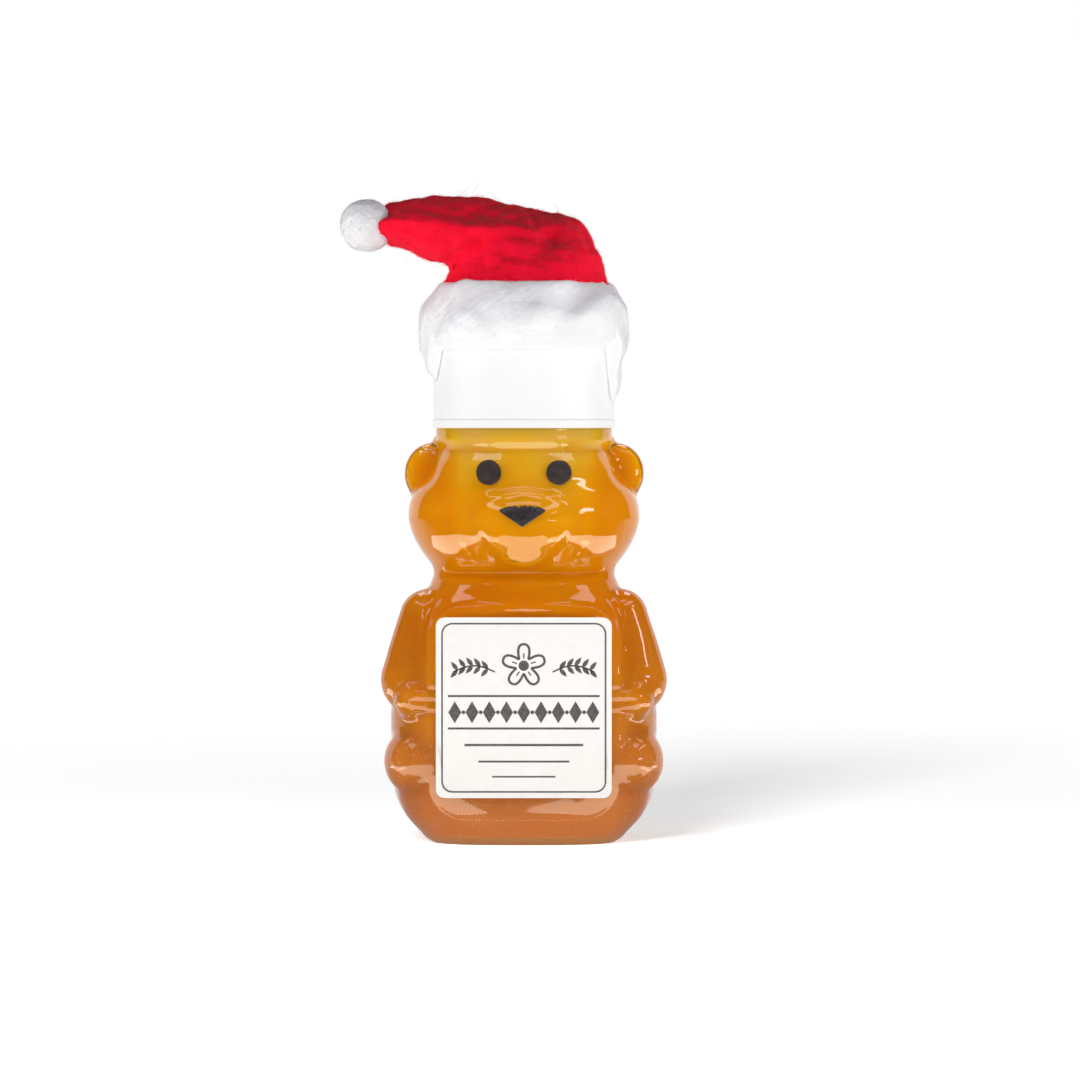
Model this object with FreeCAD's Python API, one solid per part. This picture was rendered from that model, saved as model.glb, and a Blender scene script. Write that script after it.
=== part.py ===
"""Honey bear bottle: a hollow bear full of honey, closed by a flip-top screw cap that wears a felt hat.

Millimetres, +Z up, the bear faces -Y. The origin is the centre of the flat base that the bottle stands on.
"""

import FreeCAD, Part
import math
import os

from FreeCAD import Vector

# Bear form, outside sizes
TORSO_HEIGHT = 39.4  # base to the crease under the chin
TORSO_HALF_WIDTH = 19.4
TORSO_HALF_DEPTH = 15.4
HEAD_HEIGHT = 20.0  # crease to the underside of the neck's ring
HEAD_HALF_WIDTH = 17.0
HEAD_HALF_DEPTH = 14.4
WALL = 0.9
FLOOR = 1.4
PANEL_FRONT = 13.4  # the flat front that the label sits on, ahead of the axis
PANEL_WIDTH = 27.8
PANEL_BLEND = 0.6

# Core sections: share of the height, of the half width, of the half depth, and squareness of the outline
TORSO_SECTION_SHARES = (
    (0.000, 0.685, 0.715, 2.8),
    (0.012, 0.728, 0.765, 2.8),
    (0.040, 0.785, 0.825, 2.9),
    (0.090, 0.880, 0.885, 3.0),
    (0.180, 0.970, 0.945, 3.0),
    (0.290, 0.988, 0.985, 3.0),
    (0.430, 1.005, 1.000, 3.0),
    (0.560, 0.995, 1.000, 3.0),
    (0.700, 0.945, 0.985, 2.9),
    (0.825, 0.870, 0.935, 2.7),
    (0.915, 0.775, 0.835, 2.5),
    (0.970, 0.705, 0.755, 2.4),
)
HEAD_SECTION_SHARES = (
    (0.000, 0.782, 0.770, 2.3),
    (0.060, 0.800, 0.785, 2.3),
    (0.140, 0.868, 0.850, 2.3),
    (0.250, 0.945, 0.935, 2.3),
    (0.430, 1.000, 1.000, 2.3),
    (0.560, 0.965, 0.985, 2.3),
    (0.680, 0.880, 0.945, 2.2),
    (0.800, 0.790, 0.890, 2.1),
    (0.900, 0.725, 0.850, 2.0),
    (1.000, 0.700, 0.826, 2.0),
)

# Bear features; pairs are mirrored
EAR_INSET = 3.6  # head's half width to the middle of an ear
EAR_BACK = 1.6
EAR_RISE = 14.6  # crease to the middle of an ear
EAR_HALF_WIDTH = 4.2
EAR_HALF_DEPTH = 2.7
EAR_HALF_HEIGHT = 4.5
EAR_BLEND = 1.0
SHOULDER_INSET = 5.4  # torso's half width to the middle of the limb
SHOULDER_FRONT = 4.5
SHOULDER_DROP = 6.4  # crease down to the middle of the limb
SHOULDER_RADIUS = 4.2
ELBOW_INSET = 3.4
ELBOW_FRONT = 7.2
ELBOW_DROP = 15.4
ELBOW_RADIUS = 4.95
HAND_OUT = 1.7  # label panel's edge to the middle of the hand
HAND_BEHIND = 3.0  # label panel's plane to the middle of the hand
HAND_DROP = 18.0
HAND_RADIUS = 3.2
ARM_BLEND = 0.8
FOOT_OUT = 1.4
FOOT_BEHIND = 6.2
FOOT_HEIGHT = 12.1
FOOT_HALF_WIDTH = 5.1
FOOT_HALF_DEPTH = 6.4
FOOT_HALF_HEIGHT = 5.2
FOOT_BLEND = 0.8
SNOUT_FRONT = 12.2
SNOUT_RISE = 7.0
SNOUT_HALF_WIDTH = 7.0
SNOUT_HALF_DEPTH = 5.0
SNOUT_HALF_HEIGHT = 4.9
SNOUT_BLEND = 2.4

# Control net of the bear's skin
RING_COUNT = 46
POINTS_PER_RING = 72
RING_BUNCH_SHARE = 0.55  # how much the rings crowd towards the two ends
HALVINGS = 18

# Painted face and label
FILM = 0.12
EYE_RADIUS = 1.82
EYE_SPACING = 10.2
EYE_RISE = 14.8  # crease to the middle of an eye
NOSE_WIDTH = 7.6
NOSE_HEIGHT = 3.6
NOSE_CROWN = 0.7
NOSE_RISE = 6.7  # crease to the tip of the nose
NOSE_ROUND = 0.4
LABEL_SIDE_GAP = 1.15  # label to the panel's edge
LABEL_HEIGHT = 26.2
LABEL_BOTTOM = 7.0
LABEL_CORNER = 1.3

# Neck finish with its screw thread
NECK_RADIUS = 10.9
NECK_WALL = 1.7
NECK_HEIGHT = 9.9  # top of the ring to the rim
RING_OUT = 2.0
RING_THICKNESS = 0.9
THREAD_PITCH = 3.175
THREAD_TURN_SHARE = 1.15
THREAD_DEPTH = 1.05
THREAD_ROOT = 1.5
THREAD_CREST = 0.8
THREAD_DROP = 3.0  # rim to the middle of the thread's upper end
THREAD_SINK = 0.3  # how far a thread's root reaches into its wall
FILL_RISE = 1.7  # top of the ring to the level of the honey
HONEY_GAP = 0.1

# Flip-top cap
CAP_WALL = 0.98
CAP_LIFT = 0.35  # gap between the neck's ring and the cap
CAP_WALL_GAP = 0.3  # thread crest to the cap's bore
CAP_THREAD_GAP = 0.35  # neck to the crest of the cap's thread
THREAD_FLANK_GAP = 0.15
BEAD_HEIGHT = 1.3
BEAD_OUT = 0.14
BEAD_GROOVE_WIDTH = 0.3
BEAD_GROOVE_DEPTH = 0.2
CAP_EDGE = 0.16  # worn-soft edges of the cap
WASHER_THICKNESS = 0.8
WASHER_EDGE_GAP = 0.5  # washer to the cap's bore
WASHER_BORE_RADIUS = 6.0
DECK_THICKNESS = 1.3
SPOUT_RADIUS = 3.2
SPOUT_HEIGHT = 2.4
ORIFICE_RADIUS = 1.7
SEAT_WALL = 0.9  # upstanding ring that the lid closes over
SEAT_HEIGHT = 1.1
LID_HEIGHT = 5.6
LID_WALL = 1.2
LID_ROOF = 1.2
LID_ROUND = 1.1
LID_GAP = 0.1  # half of the parting line between cap and lid
LID_SEAT_GAP = 0.2
PLUG_GAP = 0.22
PLUG_DEPTH = 0.9
THUMB_WIDTH = 8.0
THUMB_OUT = 0.25
THUMB_HEIGHT = 0.9
HINGE_WIDTH = 8.0
HINGE_SIDE_GAP = 0.15
HINGE_INSET = 0.65  # cap's side to the flat that carries the hinge
HINGE_FLAT_HEIGHT = 1.7
HINGE_BORE_RADIUS = 0.42
HINGE_WEB = 0.34

# Felt hat with a plush brim
FELT = 0.5
HAT_SIDE_GAP = 0.4  # felt to the lid's side
FELT_RISE = 0.7  # parting line to the felt's lower edge
BRIM_GAP = 0.1
BRIM_CAP_GAP = 0.25  # cap's side to the lumps of the brim that hang beside it
BRIM_THICKNESS = 1.0
BRIM_FRONT_DROP = 0.4  # parting line down to the brim's lower edge at the front
BRIM_FRONT_HEIGHT = 9.6
BRIM_RIGHT_DROP = 7.8  # how far the brim hangs lower at the sides
BRIM_LEFT_DROP = 4.6
BRIM_BACK_START = 2.8  # behind this depth nothing hangs below the parting line
BRIM_BACK_RISE = 0.4
FLIP_ANGLE = 110.0
FLIP_GAP = 0.35  # hat to the cap's back when the lid is open
POMPOM_RADIUS = 4.0
POMPOM_OUT = 0.45  # cone's tip to the middle of the ball
SLEEVE_DROP = 1.1  # lid's top down to the end of the felt's straight sleeve
CONE_HEIGHT = 17.7  # from there to the top of the fold

# Felt cone, folded over to the left: left edge and right edge of each section as shares of the sleeve's
# radius and of the cone's height, then half the depth as a share of the sleeve's radius
CONE_SECTION_SHARES = (
    ((-0.98, 0.05), (0.98, 0.05), 0.98),
    ((-0.92, 0.12), (0.93, 0.14), 0.92),
    ((-0.87, 0.20), (0.88, 0.23), 0.87),
    ((-0.83, 0.28), (0.85, 0.32), 0.82),
    ((-0.79, 0.33), (0.80, 0.43), 0.77),
    ((-0.77, 0.37), (0.76, 0.54), 0.71),
    ((-0.75, 0.39), (0.73, 0.64), 0.67),
    ((-0.76, 0.40), (0.61, 0.77), 0.61),
    ((-0.83, 0.43), (0.28, 0.88), 0.55),
    ((-0.92, 0.46), (-0.06, 0.93), 0.50),
    ((-1.05, 0.50), (-0.45, 0.98), 0.46),
    ((-1.20, 0.55), (-0.84, 1.00), 0.41),
    ((-1.37, 0.59), (-1.17, 0.99), 0.35),
    ((-1.51, 0.65), (-1.43, 0.93), 0.27),
    ((-1.58, 0.68), (-1.56, 0.85), 0.18),
    ((-1.60, 0.72), (-1.60, 0.79), 0.09),
)
SLEEVE_ROW_SHARES = (0.0, 0.15, 0.4, 0.7)
# Brim section: share of the way from its inner to its outer radius, of the way up,
# and of the hang at the sides
BRIM_SECTION_SHARES = (
    (0.0, 0.04, 1.0), (0.0, 0.3, 0.5), (-0.1, 0.6, 0.0), (-0.5, 0.85, 0.0),
    (-0.95, 1.02, 0.0), (-0.55, 1.05, 0.0), (-0.02, 0.84, 0.0), (0.55, 0.62, 0.0),
    (0.95, 0.38, 0.0), (1.08, 0.14, 0.35), (0.6, -0.03, 1.0),
)
BRIM_POINTS = 60
DROP_START_SHARE = 0.93
DROP_FORWARD = math.radians(6)
CONE_POINTS = 32
CONE_BLIND_ROWS = 2  # last sections that are solid felt

OVERRUN = 5.0  # how far a cutting tool runs past what it cuts

# Heights that follow from the sizes above
RING_BOTTOM = TORSO_HEIGHT + HEAD_HEIGHT
RING_TOP = RING_BOTTOM + RING_THICKNESS
RIM = RING_TOP + NECK_HEIGHT
FILL_HEIGHT = RING_TOP + FILL_RISE
CAP_BOTTOM = RING_TOP + CAP_LIFT
DECK_BOTTOM = RIM + WASHER_THICKNESS
DECK_TOP = DECK_BOTTOM + DECK_THICKNESS
PARTING = DECK_TOP + LID_GAP
LID_BOTTOM = PARTING + LID_GAP
LID_TOP = LID_BOTTOM + LID_HEIGHT
SLEEVE_TOP = LID_TOP - SLEEVE_DROP

# Radii and places that follow from the sizes above
REACH = 2 * TORSO_HALF_WIDTH  # a radius that lies outside the bear everywhere
NECK_BORE_RADIUS = NECK_RADIUS - NECK_WALL
RING_RADIUS = NECK_RADIUS + RING_OUT
CAP_BORE_RADIUS = NECK_RADIUS + THREAD_DEPTH + CAP_WALL_GAP
CAP_RADIUS = CAP_BORE_RADIUS + CAP_WALL
HINGE_Y = CAP_RADIUS - HINGE_INSET
FELT_INNER = CAP_RADIUS + HAT_SIDE_GAP
FELT_OUTER = FELT_INNER + FELT
FELT_BOTTOM = PARTING + FELT_RISE
BRIM_RADIUS = FELT_OUTER + BRIM_GAP + BRIM_THICKNESS
EYE_HEIGHT = TORSO_HEIGHT + EYE_RISE
NOSE_TIP = TORSO_HEIGHT + NOSE_RISE
EAR = Vector(HEAD_HALF_WIDTH - EAR_INSET, EAR_BACK, TORSO_HEIGHT + EAR_RISE)
EAR_RADII = Vector(EAR_HALF_WIDTH, EAR_HALF_DEPTH, EAR_HALF_HEIGHT)
SHOULDER = Vector(TORSO_HALF_WIDTH - SHOULDER_INSET, -SHOULDER_FRONT, TORSO_HEIGHT - SHOULDER_DROP)
ELBOW = Vector(TORSO_HALF_WIDTH - ELBOW_INSET, -ELBOW_FRONT, TORSO_HEIGHT - ELBOW_DROP)
HAND = Vector(PANEL_WIDTH / 2 + HAND_OUT, HAND_BEHIND - PANEL_FRONT, TORSO_HEIGHT - HAND_DROP)
FOOT = Vector(PANEL_WIDTH / 2 + FOOT_OUT, FOOT_BEHIND - PANEL_FRONT, FOOT_HEIGHT)
FOOT_RADII = Vector(FOOT_HALF_WIDTH, FOOT_HALF_DEPTH, FOOT_HALF_HEIGHT)
SNOUT = Vector(0, -SNOUT_FRONT, TORSO_HEIGHT + SNOUT_RISE)
SNOUT_RADII = Vector(SNOUT_HALF_WIDTH, SNOUT_HALF_DEPTH, SNOUT_HALF_HEIGHT)


def slopes(places, values):
    """Slope of a curve through the values at every place."""
    result = [(values[1] - values[0]) / (places[1] - places[0])]
    for i in range(1, len(places) - 1):
        below = places[i] - places[i - 1]
        above = places[i + 1] - places[i]
        rise = below ** 2 * (values[i + 1] - values[i]) + above ** 2 * (values[i] - values[i - 1])
        result.append(rise / (below * above * (below + above)))
    result.append((values[-1] - values[-2]) / (places[-1] - places[-2]))
    return result


def core_table():
    """Heights, half widths, half depths and squareness of the bear's core, from the base to the neck."""
    rows = []
    for up, width, depth, square in TORSO_SECTION_SHARES:
        rows.append((up * TORSO_HEIGHT, width * TORSO_HALF_WIDTH, depth * TORSO_HALF_DEPTH, square))
    for up, width, depth, square in HEAD_SECTION_SHARES:
        height = TORSO_HEIGHT + up * HEAD_HEIGHT
        rows.append((height, width * HEAD_HALF_WIDTH, depth * HEAD_HALF_DEPTH, square))
    return list(zip(*rows))


CORE_HEIGHTS, *CORE_COLUMNS = core_table()
CORE_SLOPES = [slopes(CORE_HEIGHTS, column) for column in CORE_COLUMNS]


def core_section(height):
    """Half width, half depth and squareness of the core at a height."""
    row = 0
    while row < len(CORE_HEIGHTS) - 2 and CORE_HEIGHTS[row + 1] < height:
        row += 1
    span = CORE_HEIGHTS[row + 1] - CORE_HEIGHTS[row]
    t = (height - CORE_HEIGHTS[row]) / span
    section = []
    for column, slope in zip(CORE_COLUMNS, CORE_SLOPES):
        value = (2 * t ** 3 - 3 * t ** 2 + 1) * column[row] + (3 * t ** 2 - 2 * t ** 3) * column[row + 1]
        value += (t ** 3 - 2 * t ** 2 + t) * span * slope[row] + (t ** 3 - t ** 2) * span * slope[row + 1]
        section.append(value)
    return section


def joined(first, second, blend):
    """Distance to two forms taken together, rounded over the blend where they meet."""
    share = max(blend - abs(first - second), 0) / blend
    return min(first, second) - share * share * blend / 4


def lump(place, centre, radii):
    """Distance to a lump with three radii."""
    x, y, z = ((place[i] - centre[i]) / radii[i] for i in range(3))
    size = math.sqrt(x * x + y * y + z * z)
    steep = math.sqrt((x / radii[0]) ** 2 + (y / radii[1]) ** 2 + (z / radii[2]) ** 2)
    return size * (size - 1) / steep if steep else -min(radii)


def limb(place, start, start_radius, end, end_radius):
    """Distance to a round limb between two points."""
    along = end - start
    share = max(0, min(1, (place - start).dot(along) / along.dot(along)))
    return (place - start - along * share).Length - start_radius - (end_radius - start_radius) * share


def bear_distance(x, y, z, section):
    """Distance from the bear's skin, negative inside it."""
    half_width, half_depth, square = section
    u, v = abs(x) / half_width, abs(y) / half_depth
    size = (u ** square + v ** square) ** (1 / square)
    if size == 0:
        return -min(half_width, half_depth)
    slope = math.hypot((u / size) ** (square - 1) / half_width, (v / size) ** (square - 1) / half_depth)
    distance = (size - 1) / slope
    if z < TORSO_HEIGHT:
        distance = -joined(-distance, y + PANEL_FRONT, PANEL_BLEND)
    side = Vector(abs(x), y, z)
    distance = joined(distance, lump(side, FOOT, FOOT_RADII), FOOT_BLEND)
    arm = min(limb(side, SHOULDER, SHOULDER_RADIUS, ELBOW, ELBOW_RADIUS),
              limb(side, ELBOW, ELBOW_RADIUS, HAND, HAND_RADIUS))
    distance = joined(distance, arm, ARM_BLEND)
    distance = joined(distance, lump(side, EAR, EAR_RADII), EAR_BLEND)
    return joined(distance, lump(side, SNOUT, SNOUT_RADII), SNOUT_BLEND)


def skin_point(level, height, angle, section):
    """Point of the bear's skin, moved out by the level, in one direction from the axis."""
    near, far = 0, REACH
    x, y = math.cos(angle), math.sin(angle)
    for _ in range(HALVINGS):
        middle = (near + far) / 2
        if bear_distance(middle * x, middle * y, height, section) < level:
            near = middle
        else:
            far = middle
    return Vector(near * x, near * y, height)


def skinned(rows):
    """Closed solid from rows of control points around an axis, flat at its first and last row."""
    count, around = len(rows), len(rows[0])
    ends = [4] + [1] * (count - 4) + [4]
    steps = [i / (count - 3) for i in range(count - 2)]
    turns = [i / around for i in range(around + 1)]
    surface = Part.BSplineSurface()
    surface.buildFromPolesMultsKnots(rows, ends, [1] * (around + 1), steps, turns, False, True, 3, 3)
    side = surface.toShape()
    flats = []
    for row in (rows[0], rows[-1]):
        curve = Part.BSplineCurve()
        curve.buildFromPolesMultsKnots(row, [1] * (around + 1), turns, True, 3)
        flats.append(Part.Face(Part.Wire(curve.toShape())))
    shell = Part.Shell([side] + flats)
    shell.sewShape()
    solid = Part.Solid(shell)
    solid.fix(0, 0, 0)
    return solid if solid.Volume > 0 else solid.reversed()


def bear_skin(level, bottom, top, count):
    """Solid of the bear's form moved out by the level, between two heights."""
    rows = []
    for i in range(count):
        t = i / (count - 1)
        t -= RING_BUNCH_SHARE * math.sin(2 * math.pi * t) / (2 * math.pi)
        height = bottom + (top - bottom) * t
        section = core_section(height)
        angles = [2 * math.pi * j / POINTS_PER_RING for j in range(POINTS_PER_RING)]
        rows.append([skin_point(level, height, angle, section) for angle in angles])
    return skinned(rows)


def tube(radius, bottom, top):
    """Upright cylinder about the axis."""
    return Part.makeCylinder(radius, top - bottom, Vector(0, 0, bottom))


def turned(points):
    """Solid turned about the axis from an outline of radius and height."""
    corners = [Vector(radius, 0, height) for radius, height in points]
    face = Part.Face(Part.makePolygon(corners + corners[:1]))
    return face.revolve(Vector(), Vector(0, 0, 1), 360)


def thread(root_radius, crest_radius, low):
    """Screw ridge from a root, sunk into its wall, to a crest; low is the height of its lower end."""
    sink = math.copysign(THREAD_SINK, root_radius - crest_radius)
    root, crest = THREAD_ROOT / 2, THREAD_CREST / 2
    sunk = root_radius + sink
    places = ((sunk, -root), (crest_radius, -crest), (crest_radius, crest), (sunk, root))
    corners = [Vector(radius, 0, low + rise) for radius, rise in places]
    helix = Part.makeHelix(THREAD_PITCH, THREAD_PITCH * THREAD_TURN_SHARE, root_radius)
    helix.translate(Vector(0, 0, low))
    return Part.Wire(helix.Edges).makePipeShell([Part.makePolygon(corners + corners[:1])], True, True)


def rounded_prism(places, front, back, radius):
    """Prism that runs front to back, with its long edges rounded."""
    corners = [Vector(x, front, z) for x, z in places]
    prism = Part.Face(Part.makePolygon(corners + corners[:1])).extrude(Vector(0, back - front, 0))
    long_edges = [edge for edge in prism.Edges if edge.BoundBox.YLength > (back - front) / 2]
    return prism.makeFillet(radius, long_edges)


def thread_low():
    """Height of the lower end of the neck's thread."""
    return RIM - THREAD_DROP - THREAD_PITCH * THREAD_TURN_SHARE


def make_bottle(outside):
    inside = bear_skin(-WALL, FLOOR, RING_BOTTOM - WALL, RING_COUNT)
    ring = tube(RING_RADIUS, RING_BOTTOM, RING_TOP)
    neck = tube(NECK_RADIUS, RING_BOTTOM, RIM)
    ridge = thread(NECK_RADIUS, NECK_RADIUS + THREAD_DEPTH, thread_low())
    bore = tube(NECK_BORE_RADIUS, RING_BOTTOM - WALL - OVERRUN, RIM + OVERRUN)
    return outside.fuse([ring, neck.fuse(ridge)]).cut([inside, bore])


def make_honey():
    filling = bear_skin(-WALL - HONEY_GAP, FLOOR + HONEY_GAP, RING_BOTTOM - WALL - HONEY_GAP, RING_COUNT)
    neck = tube(NECK_BORE_RADIUS - HONEY_GAP, RING_BOTTOM - WALL - OVERRUN, FILL_HEIGHT)
    return filling.fuse(neck)


def make_face(outside):
    """Painted films on the head: two eyes and the nose."""
    film = bear_skin(FILM, 0, RING_BOTTOM, RING_COUNT)
    paints = {}
    for name, side in (("eye_left", 1), ("eye_right", -1)):
        centre = Vector(side * EYE_SPACING / 2, -REACH, EYE_HEIGHT)
        paints[name] = Part.makeCylinder(EYE_RADIUS, REACH, centre, Vector(0, 1, 0))
    top = NOSE_TIP + NOSE_HEIGHT
    side = top - NOSE_CROWN
    places = ((0, NOSE_TIP), (NOSE_WIDTH / 2, side), (0, top), (-NOSE_WIDTH / 2, side))
    paints["nose_paint"] = rounded_prism(places, -REACH, 0, NOSE_ROUND)
    return {name: paint.common(film).cut(outside) for name, paint in paints.items()}


def make_label():
    half = PANEL_WIDTH / 2 - LABEL_SIDE_GAP
    top = LABEL_BOTTOM + LABEL_HEIGHT
    places = ((-half, LABEL_BOTTOM), (half, LABEL_BOTTOM), (half, top), (-half, top))
    return rounded_prism(places, -PANEL_FRONT - FILM, -PANEL_FRONT, LABEL_CORNER)


def make_washer():
    disc = tube(CAP_BORE_RADIUS - WASHER_EDGE_GAP, RIM, DECK_BOTTOM)
    return disc.cut(tube(WASHER_BORE_RADIUS, RIM, DECK_BOTTOM))


def hinge_flat():
    """Cutter for the flat at the back that carries the hinge."""
    width = HINGE_WIDTH + 2 * HINGE_SIDE_GAP
    corner = Vector(-width / 2, HINGE_Y, PARTING - HINGE_FLAT_HEIGHT)
    return Part.makeBox(width, OVERRUN, 2 * HINGE_FLAT_HEIGHT, corner)


def make_cap_base():
    bead_top = CAP_BOTTOM + BEAD_HEIGHT
    groove_top = bead_top + BEAD_GROOVE_WIDTH
    seat = CAP_RADIUS - LID_WALL - LID_SEAT_GAP
    seat_top = DECK_TOP + SEAT_HEIGHT
    spout_top = DECK_TOP + SPOUT_HEIGHT
    bead = CAP_RADIUS + BEAD_OUT
    body = turned((
        (CAP_BORE_RADIUS, CAP_BOTTOM), (bead - CAP_EDGE, CAP_BOTTOM), (bead, CAP_BOTTOM + CAP_EDGE),
        (bead, bead_top - CAP_EDGE), (bead - CAP_EDGE, bead_top),
        (CAP_RADIUS - BEAD_GROOVE_DEPTH, bead_top), (CAP_RADIUS - BEAD_GROOVE_DEPTH, groove_top),
        (CAP_RADIUS, groove_top), (CAP_RADIUS, DECK_TOP - CAP_EDGE), (CAP_RADIUS - CAP_EDGE, DECK_TOP),
        (seat, DECK_TOP), (seat, seat_top - CAP_EDGE), (seat - CAP_EDGE, seat_top),
        (seat - SEAT_WALL, seat_top), (seat - SEAT_WALL, DECK_TOP), (SPOUT_RADIUS, DECK_TOP),
        (SPOUT_RADIUS, spout_top - CAP_EDGE), (SPOUT_RADIUS - CAP_EDGE, spout_top),
        (ORIFICE_RADIUS, spout_top), (ORIFICE_RADIUS, DECK_BOTTOM),
        (CAP_BORE_RADIUS, DECK_BOTTOM)))
    drop = (THREAD_ROOT + THREAD_CREST) / 2 + THREAD_FLANK_GAP
    ridge = thread(CAP_BORE_RADIUS, NECK_RADIUS + CAP_THREAD_GAP, thread_low() - drop)
    return body.fuse(ridge).cut(hinge_flat())


def make_lid():
    inner = CAP_RADIUS - LID_WALL
    shell = tube(CAP_RADIUS, LID_BOTTOM, LID_TOP)
    rims = [edge for edge in shell.Edges if edge.BoundBox.ZMin > LID_BOTTOM + LID_HEIGHT / 2]
    shell = shell.makeFillet(LID_ROUND, rims)
    thumb = tube(CAP_RADIUS + THUMB_OUT, LID_BOTTOM, LID_BOTTOM + THUMB_HEIGHT)
    front = Vector(-THUMB_WIDTH / 2, -CAP_RADIUS - OVERRUN, LID_BOTTOM)
    thumb = thumb.common(Part.makeBox(THUMB_WIDTH, CAP_RADIUS + OVERRUN, THUMB_HEIGHT, front))
    room = tube(inner, LID_BOTTOM - OVERRUN, LID_TOP - LID_ROOF)
    plug = tube(ORIFICE_RADIUS - PLUG_GAP, DECK_TOP + SPOUT_HEIGHT - PLUG_DEPTH, LID_TOP - LID_ROOF)
    return shell.fuse(thumb).cut([room, hinge_flat()]).fuse(plug)


def make_hinge():
    start = Vector(-HINGE_WIDTH / 2, HINGE_Y, PARTING)
    strap = Part.makeCylinder(HINGE_BORE_RADIUS + HINGE_WEB, HINGE_WIDTH, start, Vector(1, 0, 0))
    strap = strap.cut(Part.makeCylinder(HINGE_BORE_RADIUS, HINGE_WIDTH, start, Vector(1, 0, 0)))
    back = Part.makeBox(HINGE_WIDTH, OVERRUN, 2 * OVERRUN, start - Vector(0, 0, OVERRUN))
    return strap.common(back)


def flip_relief():
    """Cutter that frees the hat's back edge, so that it clears the cap when the lid flips open."""
    turn = math.radians(FLIP_ANGLE)
    reach = HINGE_INSET + FLIP_GAP
    near, far = HINGE_Y - HINGE_INSET, BRIM_RADIUS + OVERRUN
    low = CAP_BOTTOM - OVERRUN
    level = PARTING + BRIM_BACK_RISE
    rises = [PARTING + (reach - (y - HINGE_Y) * math.cos(turn)) / math.sin(turn) for y in (near, far)]
    outline = ((BRIM_BACK_START, low), (BRIM_BACK_START, level), (near, level), (near, rises[0]),
               (far, rises[1]), (far, low))
    corners = [Vector(-REACH, y, z) for y, z in outline]
    return Part.Face(Part.makePolygon(corners + corners[:1])).extrude(Vector(2 * REACH, 0, 0))


def cone_place(shares):
    """Point in the plane of the hat's fold."""
    return Vector(shares[0] * FELT_OUTER, 0, SLEEVE_TOP + shares[1] * CONE_HEIGHT)


def cone_row(left, right, half_depth, inset):
    """Control points around one section of the cone, set in from the outside."""
    middle = (left + right) * 0.5
    across = (right - left).normalize() * ((right - left).Length / 2 - inset)
    row = []
    for j in range(CONE_POINTS):
        angle = 2 * math.pi * j / CONE_POINTS
        deep = Vector(0, (half_depth - inset) * math.sin(angle), 0)
        row.append(middle + across * math.cos(angle) + deep)
    return row


def cone_form(inset, bottom, last):
    """Solid of the felt's outside, or of its hollow when set in, from the sleeve up to a last section."""
    rows = []
    for share in SLEEVE_ROW_SHARES:
        height = bottom + (SLEEVE_TOP - bottom) * share
        ends = [Vector(x, 0, height) for x in (-FELT_OUTER, FELT_OUTER)]
        rows.append(cone_row(ends[0], ends[1], FELT_OUTER, inset))
    for left, right, depth in CONE_SECTION_SHARES[:last]:
        rows.append(cone_row(cone_place(left), cone_place(right), depth * FELT_OUTER, inset))
    return skinned(rows)


def make_cone():
    outside = cone_form(0, FELT_BOTTOM, len(CONE_SECTION_SHARES))
    inside = cone_form(FELT, FELT_BOTTOM - OVERRUN, len(CONE_SECTION_SHARES) - CONE_BLIND_ROWS)
    return outside, outside.cut([inside, flip_relief()])


def make_brim():
    """Plush band around the felt, hanging lower at both sides."""
    low = PARTING - BRIM_FRONT_DROP
    inner = CAP_RADIUS + BRIM_CAP_GAP
    rows = []
    for j in range(BRIM_POINTS):
        angle = 2 * math.pi * j / BRIM_POINTS
        right = math.cos(angle) > 0
        drop = BRIM_RIGHT_DROP if right else BRIM_LEFT_DROP
        side = math.cos(angle + DROP_FORWARD) if right else -math.cos(angle - DROP_FORWARD)
        side = max(0, min(1, (side - DROP_START_SHARE) / (1 - DROP_START_SHARE)))
        drop *= side * side * (3 - 2 * side)
        row = []
        for across, up, hang in BRIM_SECTION_SHARES:
            radius = inner + (BRIM_RADIUS - inner) * across
            height = low + BRIM_FRONT_HEIGHT * up - drop * hang
            row.append(Vector(radius * math.cos(angle), radius * math.sin(angle), height))
        rows.append(row)
    around, turns = len(rows), len(BRIM_SECTION_SHARES)
    surface = Part.BSplineSurface()
    surface.buildFromPolesMultsKnots(rows, [1] * (around + 1), [1] * (turns + 1), list(range(around + 1)),
                                     list(range(turns + 1)), True, True, 3, 3)
    band = Part.Solid(Part.Shell([surface.toShape()]))
    if band.Volume < 0:
        band.reverse()
    felt = cone_form(-BRIM_GAP, FELT_BOTTOM - BRIM_GAP, len(CONE_SECTION_SHARES))
    return band.cut([felt, flip_relief()])


def make_pompom(cone):
    left, right, _ = CONE_SECTION_SHARES[-1]
    tip = (cone_place(left) + cone_place(right)) * 0.5
    return Part.makeSphere(POMPOM_RADIUS, tip - Vector(POMPOM_OUT, 0, 0)).cut(cone)


def main():
    os.makedirs("parts", exist_ok=True)
    outside = bear_skin(0, 0, RING_BOTTOM, RING_COUNT)
    parts = {"bottle": make_bottle(outside), "honey": make_honey()}
    parts.update(make_face(outside))
    parts["front_label"] = make_label()
    parts["seal_washer"] = make_washer()
    parts["cap_base"] = make_cap_base()
    parts["living_hinge"] = make_hinge()
    parts["cap_lid"] = make_lid()
    cone, parts["hat_cone"] = make_cone()
    parts["hat_brim"] = make_brim()
    parts["hat_pompom"] = make_pompom(cone)
    for name, shape in parts.items():
        if shape.ShapeType == "Compound" and len(shape.Solids) == 1:
            shape = shape.Solids[0]
        shape.exportStep("parts/" + name + ".step")


main()
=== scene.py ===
"""Looks of the honey bear bottle: a clear bear full of honey, a white flip-top cap, a felt hat."""

import math

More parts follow.
